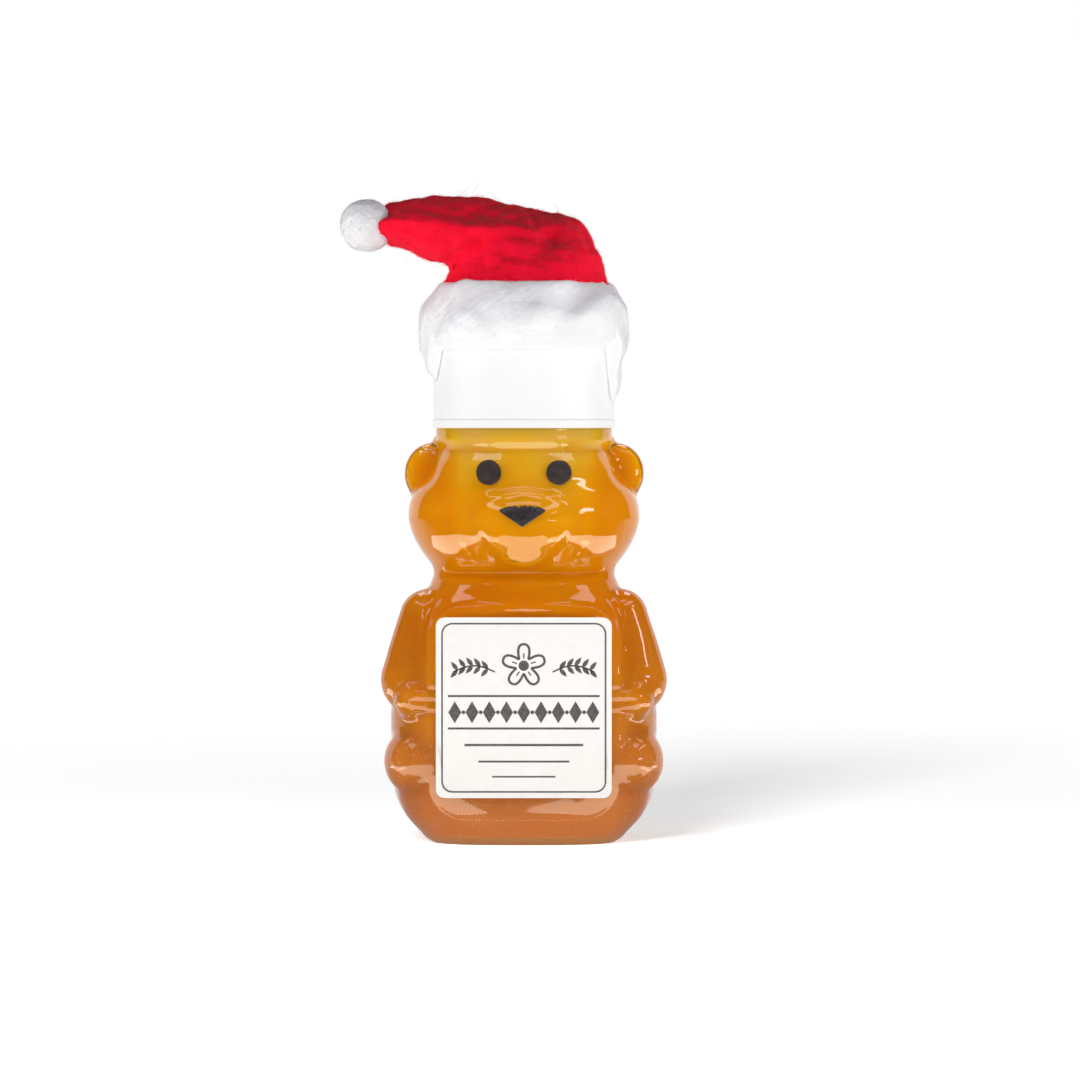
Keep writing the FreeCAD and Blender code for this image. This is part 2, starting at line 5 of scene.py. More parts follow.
import bpy
import numpy as np
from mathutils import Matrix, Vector


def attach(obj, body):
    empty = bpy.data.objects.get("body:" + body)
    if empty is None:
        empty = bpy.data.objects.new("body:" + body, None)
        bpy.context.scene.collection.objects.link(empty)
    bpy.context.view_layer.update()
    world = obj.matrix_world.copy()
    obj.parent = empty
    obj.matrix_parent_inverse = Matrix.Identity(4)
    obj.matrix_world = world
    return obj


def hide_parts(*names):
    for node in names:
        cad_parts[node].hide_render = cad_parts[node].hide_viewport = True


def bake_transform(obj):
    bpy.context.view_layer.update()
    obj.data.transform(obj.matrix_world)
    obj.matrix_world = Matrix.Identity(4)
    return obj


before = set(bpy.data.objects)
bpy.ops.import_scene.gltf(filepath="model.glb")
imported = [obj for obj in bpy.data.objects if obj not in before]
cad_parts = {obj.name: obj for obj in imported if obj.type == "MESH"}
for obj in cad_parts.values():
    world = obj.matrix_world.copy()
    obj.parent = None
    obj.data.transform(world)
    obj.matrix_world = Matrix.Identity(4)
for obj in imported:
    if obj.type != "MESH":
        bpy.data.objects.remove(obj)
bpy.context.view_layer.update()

MM = 0.001  # shapes below are worked out in millimetres
TURN = 2 * math.pi

# Bear form, the same sizes as the solids
TORSO_HEIGHT, HEAD_HEIGHT = 39.4, 20.0
TORSO_HALF = (19.4, 15.4)
HEAD_HALF = (17.0, 14.4)
WALL, FLOOR = 0.9, 1.4
PANEL_FRONT, PANEL_BLEND = 13.4, 0.6
RING_BOTTOM, RING_RADIUS = 59.4, 12.9
NECK_RADIUS, BORE_RADIUS, RIM = 10.9, 9.2, 70.2
HONEY_TOP = 62.0
FILL_TOP, THROAT_RADIUS = 60.5, 10.0  # where the filling narrows to the neck
HONEY_SINK = 0.03  # honey meets the wall with no film of air
FILL_BORE = BORE_RADIUS + HONEY_SINK
TORSO_SECTION_SHARES = (
    (0.0, 0.685, 0.715, 2.8), (0.012, 0.728, 0.765, 2.8), (0.04, 0.785, 0.825, 2.9),
    (0.09, 0.88, 0.885, 3.0), (0.18, 0.97, 0.945, 3.0), (0.29, 0.988, 0.985, 3.0),
    (0.43, 1.005, 1.0, 3.0), (0.56, 0.995, 1.0, 3.0), (0.7, 0.945, 0.985, 2.9),
    (0.825, 0.87, 0.935, 2.7), (0.915, 0.775, 0.835, 2.5), (0.97, 0.705, 0.755, 2.4),
)
HEAD_SECTION_SHARES = (
    (0.0, 0.782, 0.77, 2.3), (0.06, 0.8, 0.785, 2.3), (0.14, 0.868, 0.85, 2.3),
    (0.25, 0.945, 0.935, 2.3), (0.43, 1.0, 1.0, 2.3), (0.56, 0.965, 0.985, 2.3),
    (0.68, 0.88, 0.945, 2.2), (0.8, 0.79, 0.89, 2.1), (0.9, 0.725, 0.85, 2.0),
    (1.0, 0.7, 0.826, 2.0),
)
EAR, EAR_RADII, EAR_BLEND = (13.4, 1.6, 54.0), (4.2, 2.7, 4.5), 1.0
SHOULDER, SHOULDER_RADIUS = (14.0, -4.5, 33.0), 4.2
ELBOW, ELBOW_RADIUS = (16.0, -7.2, 24.0), 4.95
HAND, HAND_RADIUS, ARM_BLEND = (15.6, -10.4, 21.4), 3.2, 0.8
FOOT, FOOT_RADII, FOOT_BLEND = (15.3, -7.2, 12.1), (5.1, 6.4, 5.2), 0.8
SNOUT, SNOUT_RADII, SNOUT_BLEND = (0.0, -12.2, 46.4), (7.0, 5.0, 4.9), 2.4
THREAD_PITCH, THREAD_TURNS, THREAD_LOW = 3.175, 1.15, 63.549
THREAD_DEPTH, THREAD_ROOT, THREAD_CREST, THREAD_FADE = 1.05, 1.5, 0.8, 0.3

FLARE, FLARE_HEIGHTS, FLARE_SIDES = 1.0, (57.0, 59.2), (13.8, 13.0)  # the head's top widens to the ring
CREASE, CREASE_HALF, CREASE_FRONT = 0.9, 0.7, (-5.0, -8.0)  # fold between chin and chest
MUZZLE_TOP, MUZZLE_LOW = ((0.0, -12.2, 46.4), 4.9), ((0.0, -12.9, 42.7), 2.4)
MUZZLE_WIDEN, MUZZLE_BLEND = (0.68, 1.0, 1.0), 1.0

# Cap, hinge and hat, the same sizes as the solids
PARTING = 72.4  # where the lid parts from the cap
HINGE_Y, HINGE_BORE, HINGE_WEB, HINGE_WIDTH = 12.58, 0.42, 0.34, 8.0
FELT, FELT_OUTER, FELT_BOTTOM, SLEEVE_TOP, CONE_HEIGHT = 0.5, 14.13, 73.1, 77.0, 17.7
SLEEVE_ROW_SHARES = (0.0, 0.15, 0.4, 0.7)
CONE_SECTION_SHARES = (
    ((-0.98, 0.05), (0.98, 0.05), 0.98), ((-0.92, 0.12), (0.93, 0.14), 0.92),
    ((-0.87, 0.20), (0.88, 0.23), 0.87), ((-0.83, 0.28), (0.85, 0.32), 0.82),
    ((-0.79, 0.33), (0.80, 0.43), 0.77), ((-0.77, 0.37), (0.76, 0.54), 0.71),
    ((-0.75, 0.39), (0.73, 0.64), 0.67), ((-0.76, 0.40), (0.61, 0.77), 0.61),
    ((-0.83, 0.43), (0.28, 0.88), 0.55), ((-0.92, 0.46), (-0.06, 0.93), 0.50),
    ((-1.05, 0.50), (-0.45, 0.98), 0.46), ((-1.20, 0.55), (-0.84, 1.00), 0.41),
    ((-1.37, 0.59), (-1.17, 0.99), 0.35), ((-1.51, 0.65), (-1.43, 0.93), 0.27),
    ((-1.58, 0.68), (-1.56, 0.85), 0.18), ((-1.60, 0.72), (-1.60, 0.79), 0.09),
)
BRIM_INNER, BRIM_OUTER, BRIM_LOW, BRIM_HEIGHT = 13.48, 15.23, 72.0, 9.6
BRIM_HUG = 0.20  # how much closer the soft pile sits to the cap than its solid
BRIM_SECTION_SHARES = (
    (0.0, 0.04, 1.0), (0.0, 0.3, 0.5), (-0.1, 0.6, 0.0), (-0.5, 0.85, 0.0),
    (-0.95, 1.02, 0.0), (-0.45, 1.05, 0.0), (0.30, 0.88, 0.0), (0.85, 0.65, 0.0),
    (1.03, 0.38, 0.0), (1.03, 0.14, 0.35), (0.6, -0.03, 1.0),
)
BRIM_RIGHT_DROP, BRIM_LEFT_DROP = 7.8, 4.6
FLAP_START_SHARE, DROP_FORWARD = 0.95, math.radians(10)
FLAP_THINNING = 0.6  # the flaps' ends are thinner than the brim
BRIM_FEATHER = 2.2  # height over which the brim's lower edge thins out
POMPOM, POMPOM_RADIUS = (-23.06, 0.0, 90.36), 4.0

# Face and label
EYE_SPACING, EYE_HEIGHT, EYE_RADIUS = 10.2, 54.2, 1.82
LABEL_FACE = -13.52
LABEL_MIDDLE = 20.1
LABEL_HALF = (12.75, 13.1)

AROUND = 320  # points in every row of the bottle
ANGLE = TURN * np.arange(AROUND) / AROUND + TURN / 4  # direction of each of them
ROW_BUNCH = 0.45  # how much closer the rows lie near both ends
FAR_OUT = 40.0  # beyond every point of the skin
RELAX_SHARE, FLATTEST, LONGEST_STEP = 0.6, 0.3, 0.4  # for spreading the points over the skin


def unit(v):
    return v / np.maximum(np.linalg.norm(v, axis=-1, keepdims=True), 1e-12)


def smooth(low, high, value):
    t = np.clip((value - low) / (high - low), 0, 1)
    return t * t * (3 - 2 * t)


def waves(p, size, seed, count=10):
    """Soft irregular field of about unit height, with lumps of that size."""
    rng = np.random.RandomState(seed)
    total = 0
    for _ in range(count):
        direction = unit(rng.normal(size=3)) * TURN / (size * rng.uniform(0.7, 1.5))
        total += np.sin(p @ direction + rng.uniform(0, TURN))
    return total / math.sqrt(count / 2)


def core_table():
    rows = [(up * TORSO_HEIGHT, w * TORSO_HALF[0], d * TORSO_HALF[1], n)
            for up, w, d, n in TORSO_SECTION_SHARES]
    rows += [(TORSO_HEIGHT + up * HEAD_HEIGHT, w * HEAD_HALF[0], d * HEAD_HALF[1], n)
             for up, w, d, n in HEAD_SECTION_SHARES]
    return np.array(rows).T


CORE_Z, *CORE = core_table()
CORE_SLOPES = [np.gradient(column, CORE_Z) for column in CORE]


def core_section(z):
    """Half width, half depth and squareness of the body at each height."""
    row = np.clip(np.searchsorted(CORE_Z, z) - 1, 0, len(CORE_Z) - 2)
    span = CORE_Z[row + 1] - CORE_Z[row]
    t = (z - CORE_Z[row]) / span
    before = 2 * t ** 3 - 3 * t ** 2 + 1
    after = 3 * t ** 2 - 2 * t ** 3
    leaving = (t ** 3 - 2 * t ** 2 + t) * span
    arriving = (t ** 3 - t ** 2) * span
    out = []
    for column, slope in zip(CORE, CORE_SLOPES):
        value = before * column[row] + after * column[row + 1]
        out.append(value + leaving * slope[row] + arriving * slope[row + 1])
    return out


def joined(first, second, blend):
    """Distance from two forms that run softly into each other."""
    share = np.maximum(blend - np.abs(first - second), 0) / blend
    return np.minimum(first, second) - share * share * blend / 4


def lump(p, centre, radii):
    q = (p - centre) / radii
    size = np.linalg.norm(q, axis=-1)
    return size * (size - 1) / np.maximum(np.linalg.norm(q / radii, axis=-1), 1e-9)


def limb(p, start, start_radius, end, end_radius):
    along = np.subtract(end, start)
    share = np.clip((p - start) @ along / (along @ along), 0, 1)
    gap = np.linalg.norm(p - start - share[..., None] * along, axis=-1)
    return gap - start_radius - (end_radius - start_radius) * share


def bear(p):
    """Distance from the bear's plain skin, negative inside it."""
    x, y, z = p[..., 0], p[..., 1], p[..., 2]
    a, b, n = core_section(z)
    u, v = np.abs(x) / a, np.abs(y) / b
    size = np.maximum((u ** n + v ** n) ** (1 / n), 1e-9)
    d = (size - 1) / np.hypot((u / size) ** (n - 1) / a, (v / size) ** (n - 1) / b)
    d = np.where(z < TORSO_HEIGHT, -joined(-d, y + PANEL_FRONT, PANEL_BLEND), d)
    side = np.stack([np.abs(x), y, z], -1)
    d = joined(d, lump(side, FOOT, FOOT_RADII), FOOT_BLEND)
    arm = np.minimum(limb(side, SHOULDER, SHOULDER_RADIUS, ELBOW, ELBOW_RADIUS),
                     limb(side, ELBOW, ELBOW_RADIUS, HAND, HAND_RADIUS))
    d = joined(d, arm, ARM_BLEND)
    d = joined(d, lump(side, EAR, EAR_RADII), EAR_BLEND)
    return joined(d, lump(p, SNOUT, SNOUT_RADII), SNOUT_BLEND)


def stroke(x, z, start, end, width, fade=0.0):
    """Soft line of unit height between two places on the front, rising over a share of its start."""
    ax, az = end[0] - start[0], end[1] - start[1]
    t = np.clip(((x - start[0]) * ax + (z - start[1]) * az) / (ax * ax + az * az), 0, 1)
    gap = np.hypot(x - start[0] - t * ax, z - start[1] - t * az)
    rise = smooth(0.0, fade, t) if fade else 1.0
    return rise * np.exp(-(gap / width) ** 2)


# Moulded lines on the front, mirrored: start, end, half width, height (below 0 is a groove), and the
# share of its length over which a line begins
FRONT_STROKES = (
    ((12.6, 22.5), (15.6, 22.9), 0.36, -0.34, 0.0),
    ((12.7, 20.9), (15.9, 21.1), 0.36, -0.34, 0.0),
    ((13.0, 19.3), (15.4, 19.2), 0.36, -0.30, 0.0),
    ((6.5, 46.6), (5.5, 43.6), 0.50, -0.40, 1.0),
    ((5.5, 43.6), (4.6, 42.0), 0.50, -0.40, 0.0),
    ((0.5, 51.5), (5.2, 50.7), 0.50, 0.14, 0.0),
    ((11.2, 37.0), (13.6, 34.4), 0.42, -0.36, 0.6),
    ((13.6, 34.4), (14.6, 31.0), 0.42, -0.36, 0.0),
    ((14.5, 27.4), (14.6, 31.0), 0.42, -0.36, 0.6),
)
FRONT_FADE = (-4.0, -8.0)  # depths between which the front's detail begins
PANEL_MIDDLE, PANEL_HALF, PANEL_CORNER = 19.25, (13.7, 15.45), 5.0  # frame around the label
FRAME_SOFT, FRAME_HEIGHT = 0.40, 0.34
DISH, DISH_HALF, DISH_FADE, DISH_DEPTH = (14.6, 54.5), (2.5, 2.9), (1.6, 0.4), 0.75  # hollow of each ear
BROW_INNER, BROW_OUTER, BROW_LOW = (2.3, 2.9), (8.3, 7.7), (55.4, 55.9)
BROW_TOP, BROW_SLOPE, BROW_HEIGHT = 57.4, 1.5, 0.28
TOE, TOE_RADIUS, TOE_SOFT, TOE_HEIGHT = (15.4, 12.3), 3.4, 0.14, 0.16  # ring on each foot
RIPPLE_SIZE, RIPPLE_HEIGHT, RIPPLE_START = 9.0, 0.028, (1.0, 4.0)  # unevenness of the blown wall


def relief(p):
    """Height of the moulded detail on the plain skin."""
    x, y, z = np.abs(p[..., 0]), p[..., 1], p[..., 2]
    front = smooth(*FRONT_FADE, y)
    qx = x - PANEL_HALF[0] + PANEL_CORNER
    qz = np.abs(z - PANEL_MIDDLE) - PANEL_HALF[1] + PANEL_CORNER
    outside = np.hypot(np.maximum(qx, 0), np.maximum(qz, 0))
    edge = outside + np.minimum(np.maximum(qx, qz), 0) - PANEL_CORNER
    height = FRAME_HEIGHT * np.exp(-(edge / FRAME_SOFT) ** 2) * front
    groove, ridge = 0.0, 0.0
    for start, end, width, tall, fade in FRONT_STROKES:
        line = tall * stroke(x, z, start, end, width, fade)
        groove = np.minimum(groove, line)
        ridge = np.maximum(ridge, line)
    height += (groove + ridge) * front
    dish = np.hypot((x - DISH[0]) / DISH_HALF[0], (z - DISH[1]) / DISH_HALF[1])
    height -= DISH_DEPTH * np.maximum(1 - dish ** 2, 0) ** 2 * smooth(*DISH_FADE, y)
    brow = BROW_HEIGHT * np.clip((BROW_TOP - z) / BROW_SLOPE, 0, 1) * smooth(*BROW_LOW, z)
    height += brow * smooth(*BROW_INNER, x) * smooth(*BROW_OUTER, x) * front
    toe = np.hypot((x - TOE[0]) / TOE_RADIUS, (z - TOE[1]) / TOE_RADIUS)
    height += TOE_HEIGHT * np.exp(-((toe - 1) / TOE_SOFT) ** 2) * front
    return height + RIPPLE_HEIGHT * waves(p, RIPPLE_SIZE, 3) * smooth(*RIPPLE_START, z)


def shape(p):
    """Distance from the bear's skin, with the muzzle's slanting underside and the head's flare."""
    z = p[..., 2]
    q = p * MUZZLE_WIDEN
    low = np.stack([p[..., 0], p[..., 1], np.minimum(z, RING_BOTTOM)], -1)
    d = joined(bear(low), limb(q, *MUZZLE_TOP, *MUZZLE_LOW), MUZZLE_BLEND)
    crease = CREASE * np.exp(-((z - TORSO_HEIGHT) / CREASE_HALF) ** 2) * smooth(*CREASE_FRONT, p[..., 1])
    return d + crease - FLARE * smooth(*FLARE_HEIGHTS, z) * smooth(*FLARE_SIDES, np.abs(p[..., 0]))


def skin(p):
    """Distance from the moulded skin."""
    return shape(p) - relief(p)


def gradient(field, p, step=0.02):
    base = field(p)
    slopes = [(field(p + step * np.eye(3)[k]) - base) / step for k in range(3)]
    return base, np.stack(slopes, -1)


def between(near, far, inside, halvings):
    """Where a test for being inside ends, between a place inside and one outside."""
    for _ in range(halvings):
        middle = (near + far) / 2
        within = inside(middle)
        near, far = np.where(within, middle, near), np.where(within, far, middle)
    return (near + far) / 2


def skin_rows(field, level, bottom, top, count, relax):
    """Rows of points on a field's level, spread evenly over the surface."""
    t = np.linspace(0, 1, count)
    z = bottom + (top - bottom) * (t - ROW_BUNCH * np.sin(TURN * t) / TURN)
    way = np.stack([np.cos(ANGLE), np.sin(ANGLE)], -1)

    def place(radius):
        p = np.empty(radius.shape + (3,))
        p[..., :2] = radius[..., None] * way
        p[..., 2] = z[:, None]
        return p

    axis = np.zeros((count, AROUND))
    p = place(between(axis, axis + FAR_OUT, lambda radius: field(place(radius)) < level, 20))
    for _ in range(relax):
        mean = (np.roll(p, 1, 1)[1:-1] + np.roll(p, -1, 1)[1:-1] + p[:-2] + p[2:]) / 4
        inner = p[1:-1] + RELAX_SHARE * (mean - p[1:-1])
        value, slope = gradient(field, inner)
        size = np.maximum((slope ** 2).sum(-1, keepdims=True), FLATTEST)
        p[1:-1] = inner - np.clip((value - level)[..., None] * slope / size, -LONGEST_STEP, LONGEST_STEP)
    return p


def ring(radius, z):
    return np.stack([radius * np.cos(ANGLE), radius * np.sin(ANGLE), z + 0 * ANGLE], -1)


def rows_mesh(rows, start_cap=True, end_cap=True, loop=False):
    """Surface through rows around an axis, with a middle point on each end or the ends joined."""
    rows = np.asarray(rows)
    count, around, _ = rows.shape
    points = rows.reshape(-1, 3)
    spans = np.arange(count if loop else count - 1)
    i = spans[:, None] * around
    after = ((spans + 1) % count)[:, None] * around
    j = np.arange(around)[None, :]
    k = (j + 1) % around
    faces = np.stack([i + j, i + k, after + k, after + j], -1).reshape(-1, 4).tolist()
    last = (count - 1) * around
    if start_cap:
        points = np.vstack([points, rows[0].mean(0)])
        faces += [[len(points) - 1, (a + 1) % around, a] for a in range(around)]
    if end_cap:
        points = np.vstack([points, rows[-1].mean(0)])
        faces += [[len(points) - 1, last + a, last + (a + 1) % around] for a in range(around)]
    return points, faces


def put(name, data):
    """New object in the scene."""
    obj = bpy.data.objects.new(name, data)
    bpy.context.scene.collection.objects.link(obj)
    return obj


def add_piece(name, surface, material, body, node=None, flat=False):
    """New object from points in millimetres and faces, that rides on a body and stands for a node."""
    points, faces = surface
    mesh = bpy.data.meshes.new(name)
    mesh.from_pydata((np.asarray(points) * MM).tolist(), [], faces, shade_flat=flat)
    mesh.validate()
    mesh.materials.append(material)
    obj = put(name, mesh)
    if body:
        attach(obj, body)
    if node:
        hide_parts(node)
    return obj


# Materials

class Nodes:
    """Shader nodes of one tree, fed by one kind of coordinates."""

    def __init__(self, tree, coordinates):
        self.tree = tree
        self.place = self.node("ShaderNodeTexCoord").outputs[coordinates]

    def set(self, node, values):
        for key, value in values.items():
            self.plug(node.inputs[key.replace("_", " ")], value)

    def node(self, kind, **values):
        node = self.tree.nodes.new(kind)
        self.set(node, values)
        return node

    def plug(self, socket, value):
        """Give a socket a value or another node's output."""
        if isinstance(value, bpy.types.NodeSocket):
            self.tree.links.new(value, socket)
        else:
            socket.default_value = value

    def noise(self, scale, detail=3.0, roughness=0.5):
        node = self.node("ShaderNodeTexNoise", Vector=self.place,
                         Scale=scale, Detail=detail, Roughness=roughness)
        return node.outputs["Fac"]

    def ramp(self, source, stops):
        node = self.node("ShaderNodeValToRGB", Fac=source)
        elements = node.color_ramp.elements
        while len(elements) < len(stops):
            elements.new(0.5)
        for element, (place, colour) in zip(elements, stops):
            element.position = place
            element.color = (*colour, 1)
        return node.outputs["Color"]

    def span(self, source, low, high, to_low, to_high):
        node = self.node("ShaderNodeMapRange", Value=source,
                         From_Min=low, From_Max=high, To_Min=to_low, To_Max=to_high)
        return node.outputs[0]

    def mix(self, factor, first, second):
        node = self.node("ShaderNodeMix")
        node.data_type = "RGBA"
        self.plug(node.inputs[0], factor)
        for index, colour in ((6, first), (7, second)):
            solid = not isinstance(colour, bpy.types.NodeSocket)
            self.plug(node.inputs[index], (*colour, 1) if solid else colour)
        return node.outputs[2]

    def math(self, operation, first, second=0.0):
        node = self.node("ShaderNodeMath")
        node.operation = operation
        self.plug(node.inputs[0], first)
        self.plug(node.inputs[1], second)
        return node.outputs[0]

    def vector(self, operation, other=(0, 0, 0)):
        node = self.node("ShaderNodeVectorMath", Vector=self.place)
        node.operation = operation
        node.inputs[1].default_value = other
        return node.outputs

    def part(self, vector, axis):
        return self.node("ShaderNodeSeparateXYZ", Vector=vector).outputs[axis]

    def height(self):
        return self.part(self.place, 2)

    def off_middle(self):
        return self.math("ABSOLUTE", self.part(self.place, 0))

    def facing_up(self):
        return self.part(self.node("ShaderNodeNewGeometry").outputs["Normal"], 2)


class Shader(Nodes):
    """A Principled material and the nodes that feed it."""

    def __init__(self, name, **values):
        self.material = bpy.data.materials.new(name)
        self.material.use_nodes = True
        super().__init__(self.material.node_tree, "Object")
        self.bsdf = self.tree.nodes["Principled BSDF"]
        self.set(self.bsdf, values)

    def feed(self, key, source):
        self.plug(self.bsdf.inputs[key], source)

    def bump(self, source, distance, strength=1.0):
        node = self.node("ShaderNodeBump", Height=source, Strength=strength, Distance=distance)
        self.feed("Normal", node.outputs[0])

    def mottle(self, scale, detail, first, second, low=0.3, high=0.7):
        wander = self.span(self.noise(scale, detail), low, high, 0, 1)
        self.feed("Base Color", self.mix(wander, first, second))

    def rough(self, scale, low, high):
        self.feed("Roughness", self.span(self.noise(scale), 0.3, 0.7, low, high))


# Honey's colour by the share of its height, with painted light in it: the pale yellow towards the top is
# painted glow that stands in for light through the head and lifts the neck out of the cap's shade, and the
# pinkish bottom is painted light from the floor
HONEY_TONES_AND_GLOW = (
    (0.0, (0.74, 0.280, 0.090)), (0.16, (0.77, 0.270, 0.065)), (0.32, (0.88, 0.320, 0.014)),
    (0.56, (0.83, 0.266, 0.001)), (0.66, (0.87, 0.355, 0.001)), (0.80, (0.94, 0.440, 0.003)),
    (0.90, (1.00, 0.575, 0.025)), (1.0, (1.00, 0.535, 0.100)),
)
# Painted shade's deep amber for the limbs, and the specks' pale tone
PAINTED_LIMB_SHADE, SPECK_TONE = (0.34, 0.110, 0.012), (0.74, 0.42, 0.22)
# Where the honey changes, in metres: beside the face and out to the limbs (both where painted shade
# begins), below the chin (where the limbs' painted shade stops), up from the floor
FACE_SIDE, LIMB_SIDE = (0.009, 0.0135), (0.0130, 0.0165)
CHIN, SPECK_HEIGHTS = (0.036, 0.039), (0.010, 0.034)
SIDE_TONE_SHARE = 0.65  # beside the face the tone goes no lower than this


def clear_plastic():
    s = Shader("clear_plastic", Base_Color=(0.99, 0.975, 0.95, 1), IOR=1.5, Transmission_Weight=1.0)
    s.rough(180, 0.015, 0.05)
    s.bump(s.noise(260, 2), 0.00002, 0.35)
    return s.material


def honey_amber():
    """Amber specked low down, with painted light: a painted glow towards the top and up the middle of the
    face, and painted shade in the limbs.
    """
    s = Shader("honey_amber", IOR=1.49, Roughness=0.6, Specular_IOR_Level=0.0,
               Subsurface_Weight=0.7, Subsurface_Radius=(1.0, 0.45, 0.12), Subsurface_Scale=0.004)
    # The ramp by height carries a painted glow towards the top and painted light from the floor at the
    # bottom
    up = s.span(s.height(), 0.0, HONEY_TOP * MM, 0.0, 1.0)
    cloud = s.math("ADD", up, s.span(s.noise(90), 0.3, 0.7, -0.05, 0.05))
    # Painted shade beside the face: off its middle the honey moves to deeper tones of the ramp, so the
    # middle reads paler like a glow
    face_side_shade = s.span(s.off_middle(), *FACE_SIDE, 0.0, 0.3)
    shade = s.math("MAXIMUM", s.math("SUBTRACT", cloud, face_side_shade), s.math("MINIMUM", cloud, SIDE_TONE_SHARE))
    # Painted shade in the arms, hands, feet and lower sides, ending below the chin
    body = s.span(s.height(), *CHIN, 1.0, 0.0)
    limbs = s.math("MULTIPLY", s.span(s.off_middle(), *LIMB_SIDE, 0.0, 0.34), body)
    colour = s.mix(limbs, s.ramp(shade, HONEY_TONES_AND_GLOW), PAINTED_LIMB_SHADE)
    specks = s.span(s.noise(2600, 1), 0.58, 0.70, 0.0, 0.35)
    low = s.span(s.height(), *SPECK_HEIGHTS, 1.0, 0.25)
    s.feed("Base Color", s.mix(s.math("MULTIPLY", specks, low), colour, SPECK_TONE))
    return s.material


def mottled(name, tones, rough, grain=None, **values):
    """Material of two tones with uneven gloss and a fine grain."""
    s = Shader(name, **values)
    s.mottle(*tones)
    s.rough(*rough)
    if grain:
        scale, detail, depth, strength = grain
        s.bump(s.noise(scale, detail), depth, strength)
    return s.material


def black_paint(name, colour, rough):
    tones = (900, 4, colour, [c * 1.7 + 0.004 for c in colour], 0.35)
    return mottled(name, tones, (1500, rough, rough + 0.15), (2200, 4, 0.00003, 0.5))


def red_felt(name, low, high):
    """Felt with a mottled nap, and painted shade that darkens it where it faces up."""
    s = Shader(name, Specular_IOR_Level=0.15, Sheen_Weight=0.08, Sheen_Roughness=0.5,
               Sheen_Tint=(1.0, 0.35, 0.35, 1), Roughness=0.95)
    patches = s.span(s.noise(420, 5, 0.6), 0.33, 0.62, 0, 1)
    fine = s.span(s.noise(2600, 4, 0.7), 0.35, 0.7, 0, 0.5)
    nap = s.mix(fine, s.mix(patches, low, high), [min(1, c * 1.25 + 0.004) for c in high])
    # Painted shade: the felt goes to half its brightness where it faces up, as if lit from low in front
    deep = [c * 0.5 for c in low]
    s.feed("Base Color", s.mix(s.span(s.facing_up(), 0.50, 0.95, 0.0, 0.9), nap, deep))
    s.bump(s.noise(3200, 6, 0.75), 0.00006, 0.6)
    return s.material


def white_plush(name):
    s = Shader(name, Specular_IOR_Level=0.1, Sheen_Weight=0.2, Roughness=0.95)
    patches = s.span(s.noise(200, 4, 0.6), 0.3, 0.7, 0, 1)
    pile = s.mix(patches, (0.97, 0.965, 0.975), (0.93, 0.92, 0.94))
    # Painted shade: the pile turns lilac grey where it faces up, as if lit from low in front
    s.feed("Base Color", s.mix(s.span(s.facing_up(), 0.0, 0.9, 0.0, 1.0), pile, (0.86, 0.83, 0.89)))
    s.bump(s.noise(2400, 6, 0.75), 0.00015, 0.8)
    return s.material


PLASTIC, HONEY = clear_plastic(), honey_amber()
EYE_PAINT = black_paint("eye_paint", (0.032, 0.020, 0.019), 0.45)
NOSE_PAINT = black_paint("nose_paint", (0.030, 0.026, 0.027), 0.22)
PAPER = mottled("label_paper", (700, 5, (0.93, 0.92, 0.89), (0.905, 0.89, 0.86)), (1800, 0.55, 0.75),
                (4500, 4, 0.000012, 0.6), Specular_IOR_Level=0.3)
INK = mottled("label_ink", (3500, 4, (0.085, 0.070, 0.076), (0.16, 0.14, 0.145), 0.35, 0.75),
              (1800, 0.6, 0.8), Specular_IOR_Level=0.25)
WHITE = mottled("white_plastic", (60, 4, (0.95, 0.95, 0.955), (0.93, 0.93, 0.94)), (400, 0.28, 0.42),
                (1600, 3, 0.00001, 0.5), Specular_IOR_Level=0.45, Subsurface_Weight=0.08,
                Subsurface_Scale=0.001)
FOAM = mottled("washer_foam", (1500, 4, (0.80, 0.79, 0.75), (0.70, 0.69, 0.66), 0.0, 1.0), (900, 0.7, 0.9),
               (3000, 4, 0.00005, 0.6), Specular_IOR_Level=0.2)
RED = red_felt("red_felt", (0.92, 0.002, 0.024), (1.0, 0.003, 0.036))
RED_FIBRE = red_felt("red_fibre", (0.92, 0.003, 0.025), (1.0, 0.012, 0.05))
PLUSH, PLUSH_FIBRE = white_plush("white_plush"), white_plush("plush_fibre")


# Bottle and honey

def thread_height(angle, z):
    """How far the neck's screw ridge stands out."""
    height = np.zeros(np.broadcast(angle, z).shape)
    for lap in range(2):
        turn = (angle % TURN) + lap * TURN
        gap = np.abs(z - THREAD_LOW - THREAD_PITCH * turn / TURN)
        side = np.clip((THREAD_ROOT / 2 - gap) / ((THREAD_ROOT - THREAD_CREST) / 2), 0, 1)
        end = THREAD_TURNS * TURN
        ends = smooth(0.0, THREAD_FADE, turn) * smooth(end, end - THREAD_FADE, turn)
        height = np.maximum(height, THREAD_DEPTH * side * ends)
    return height


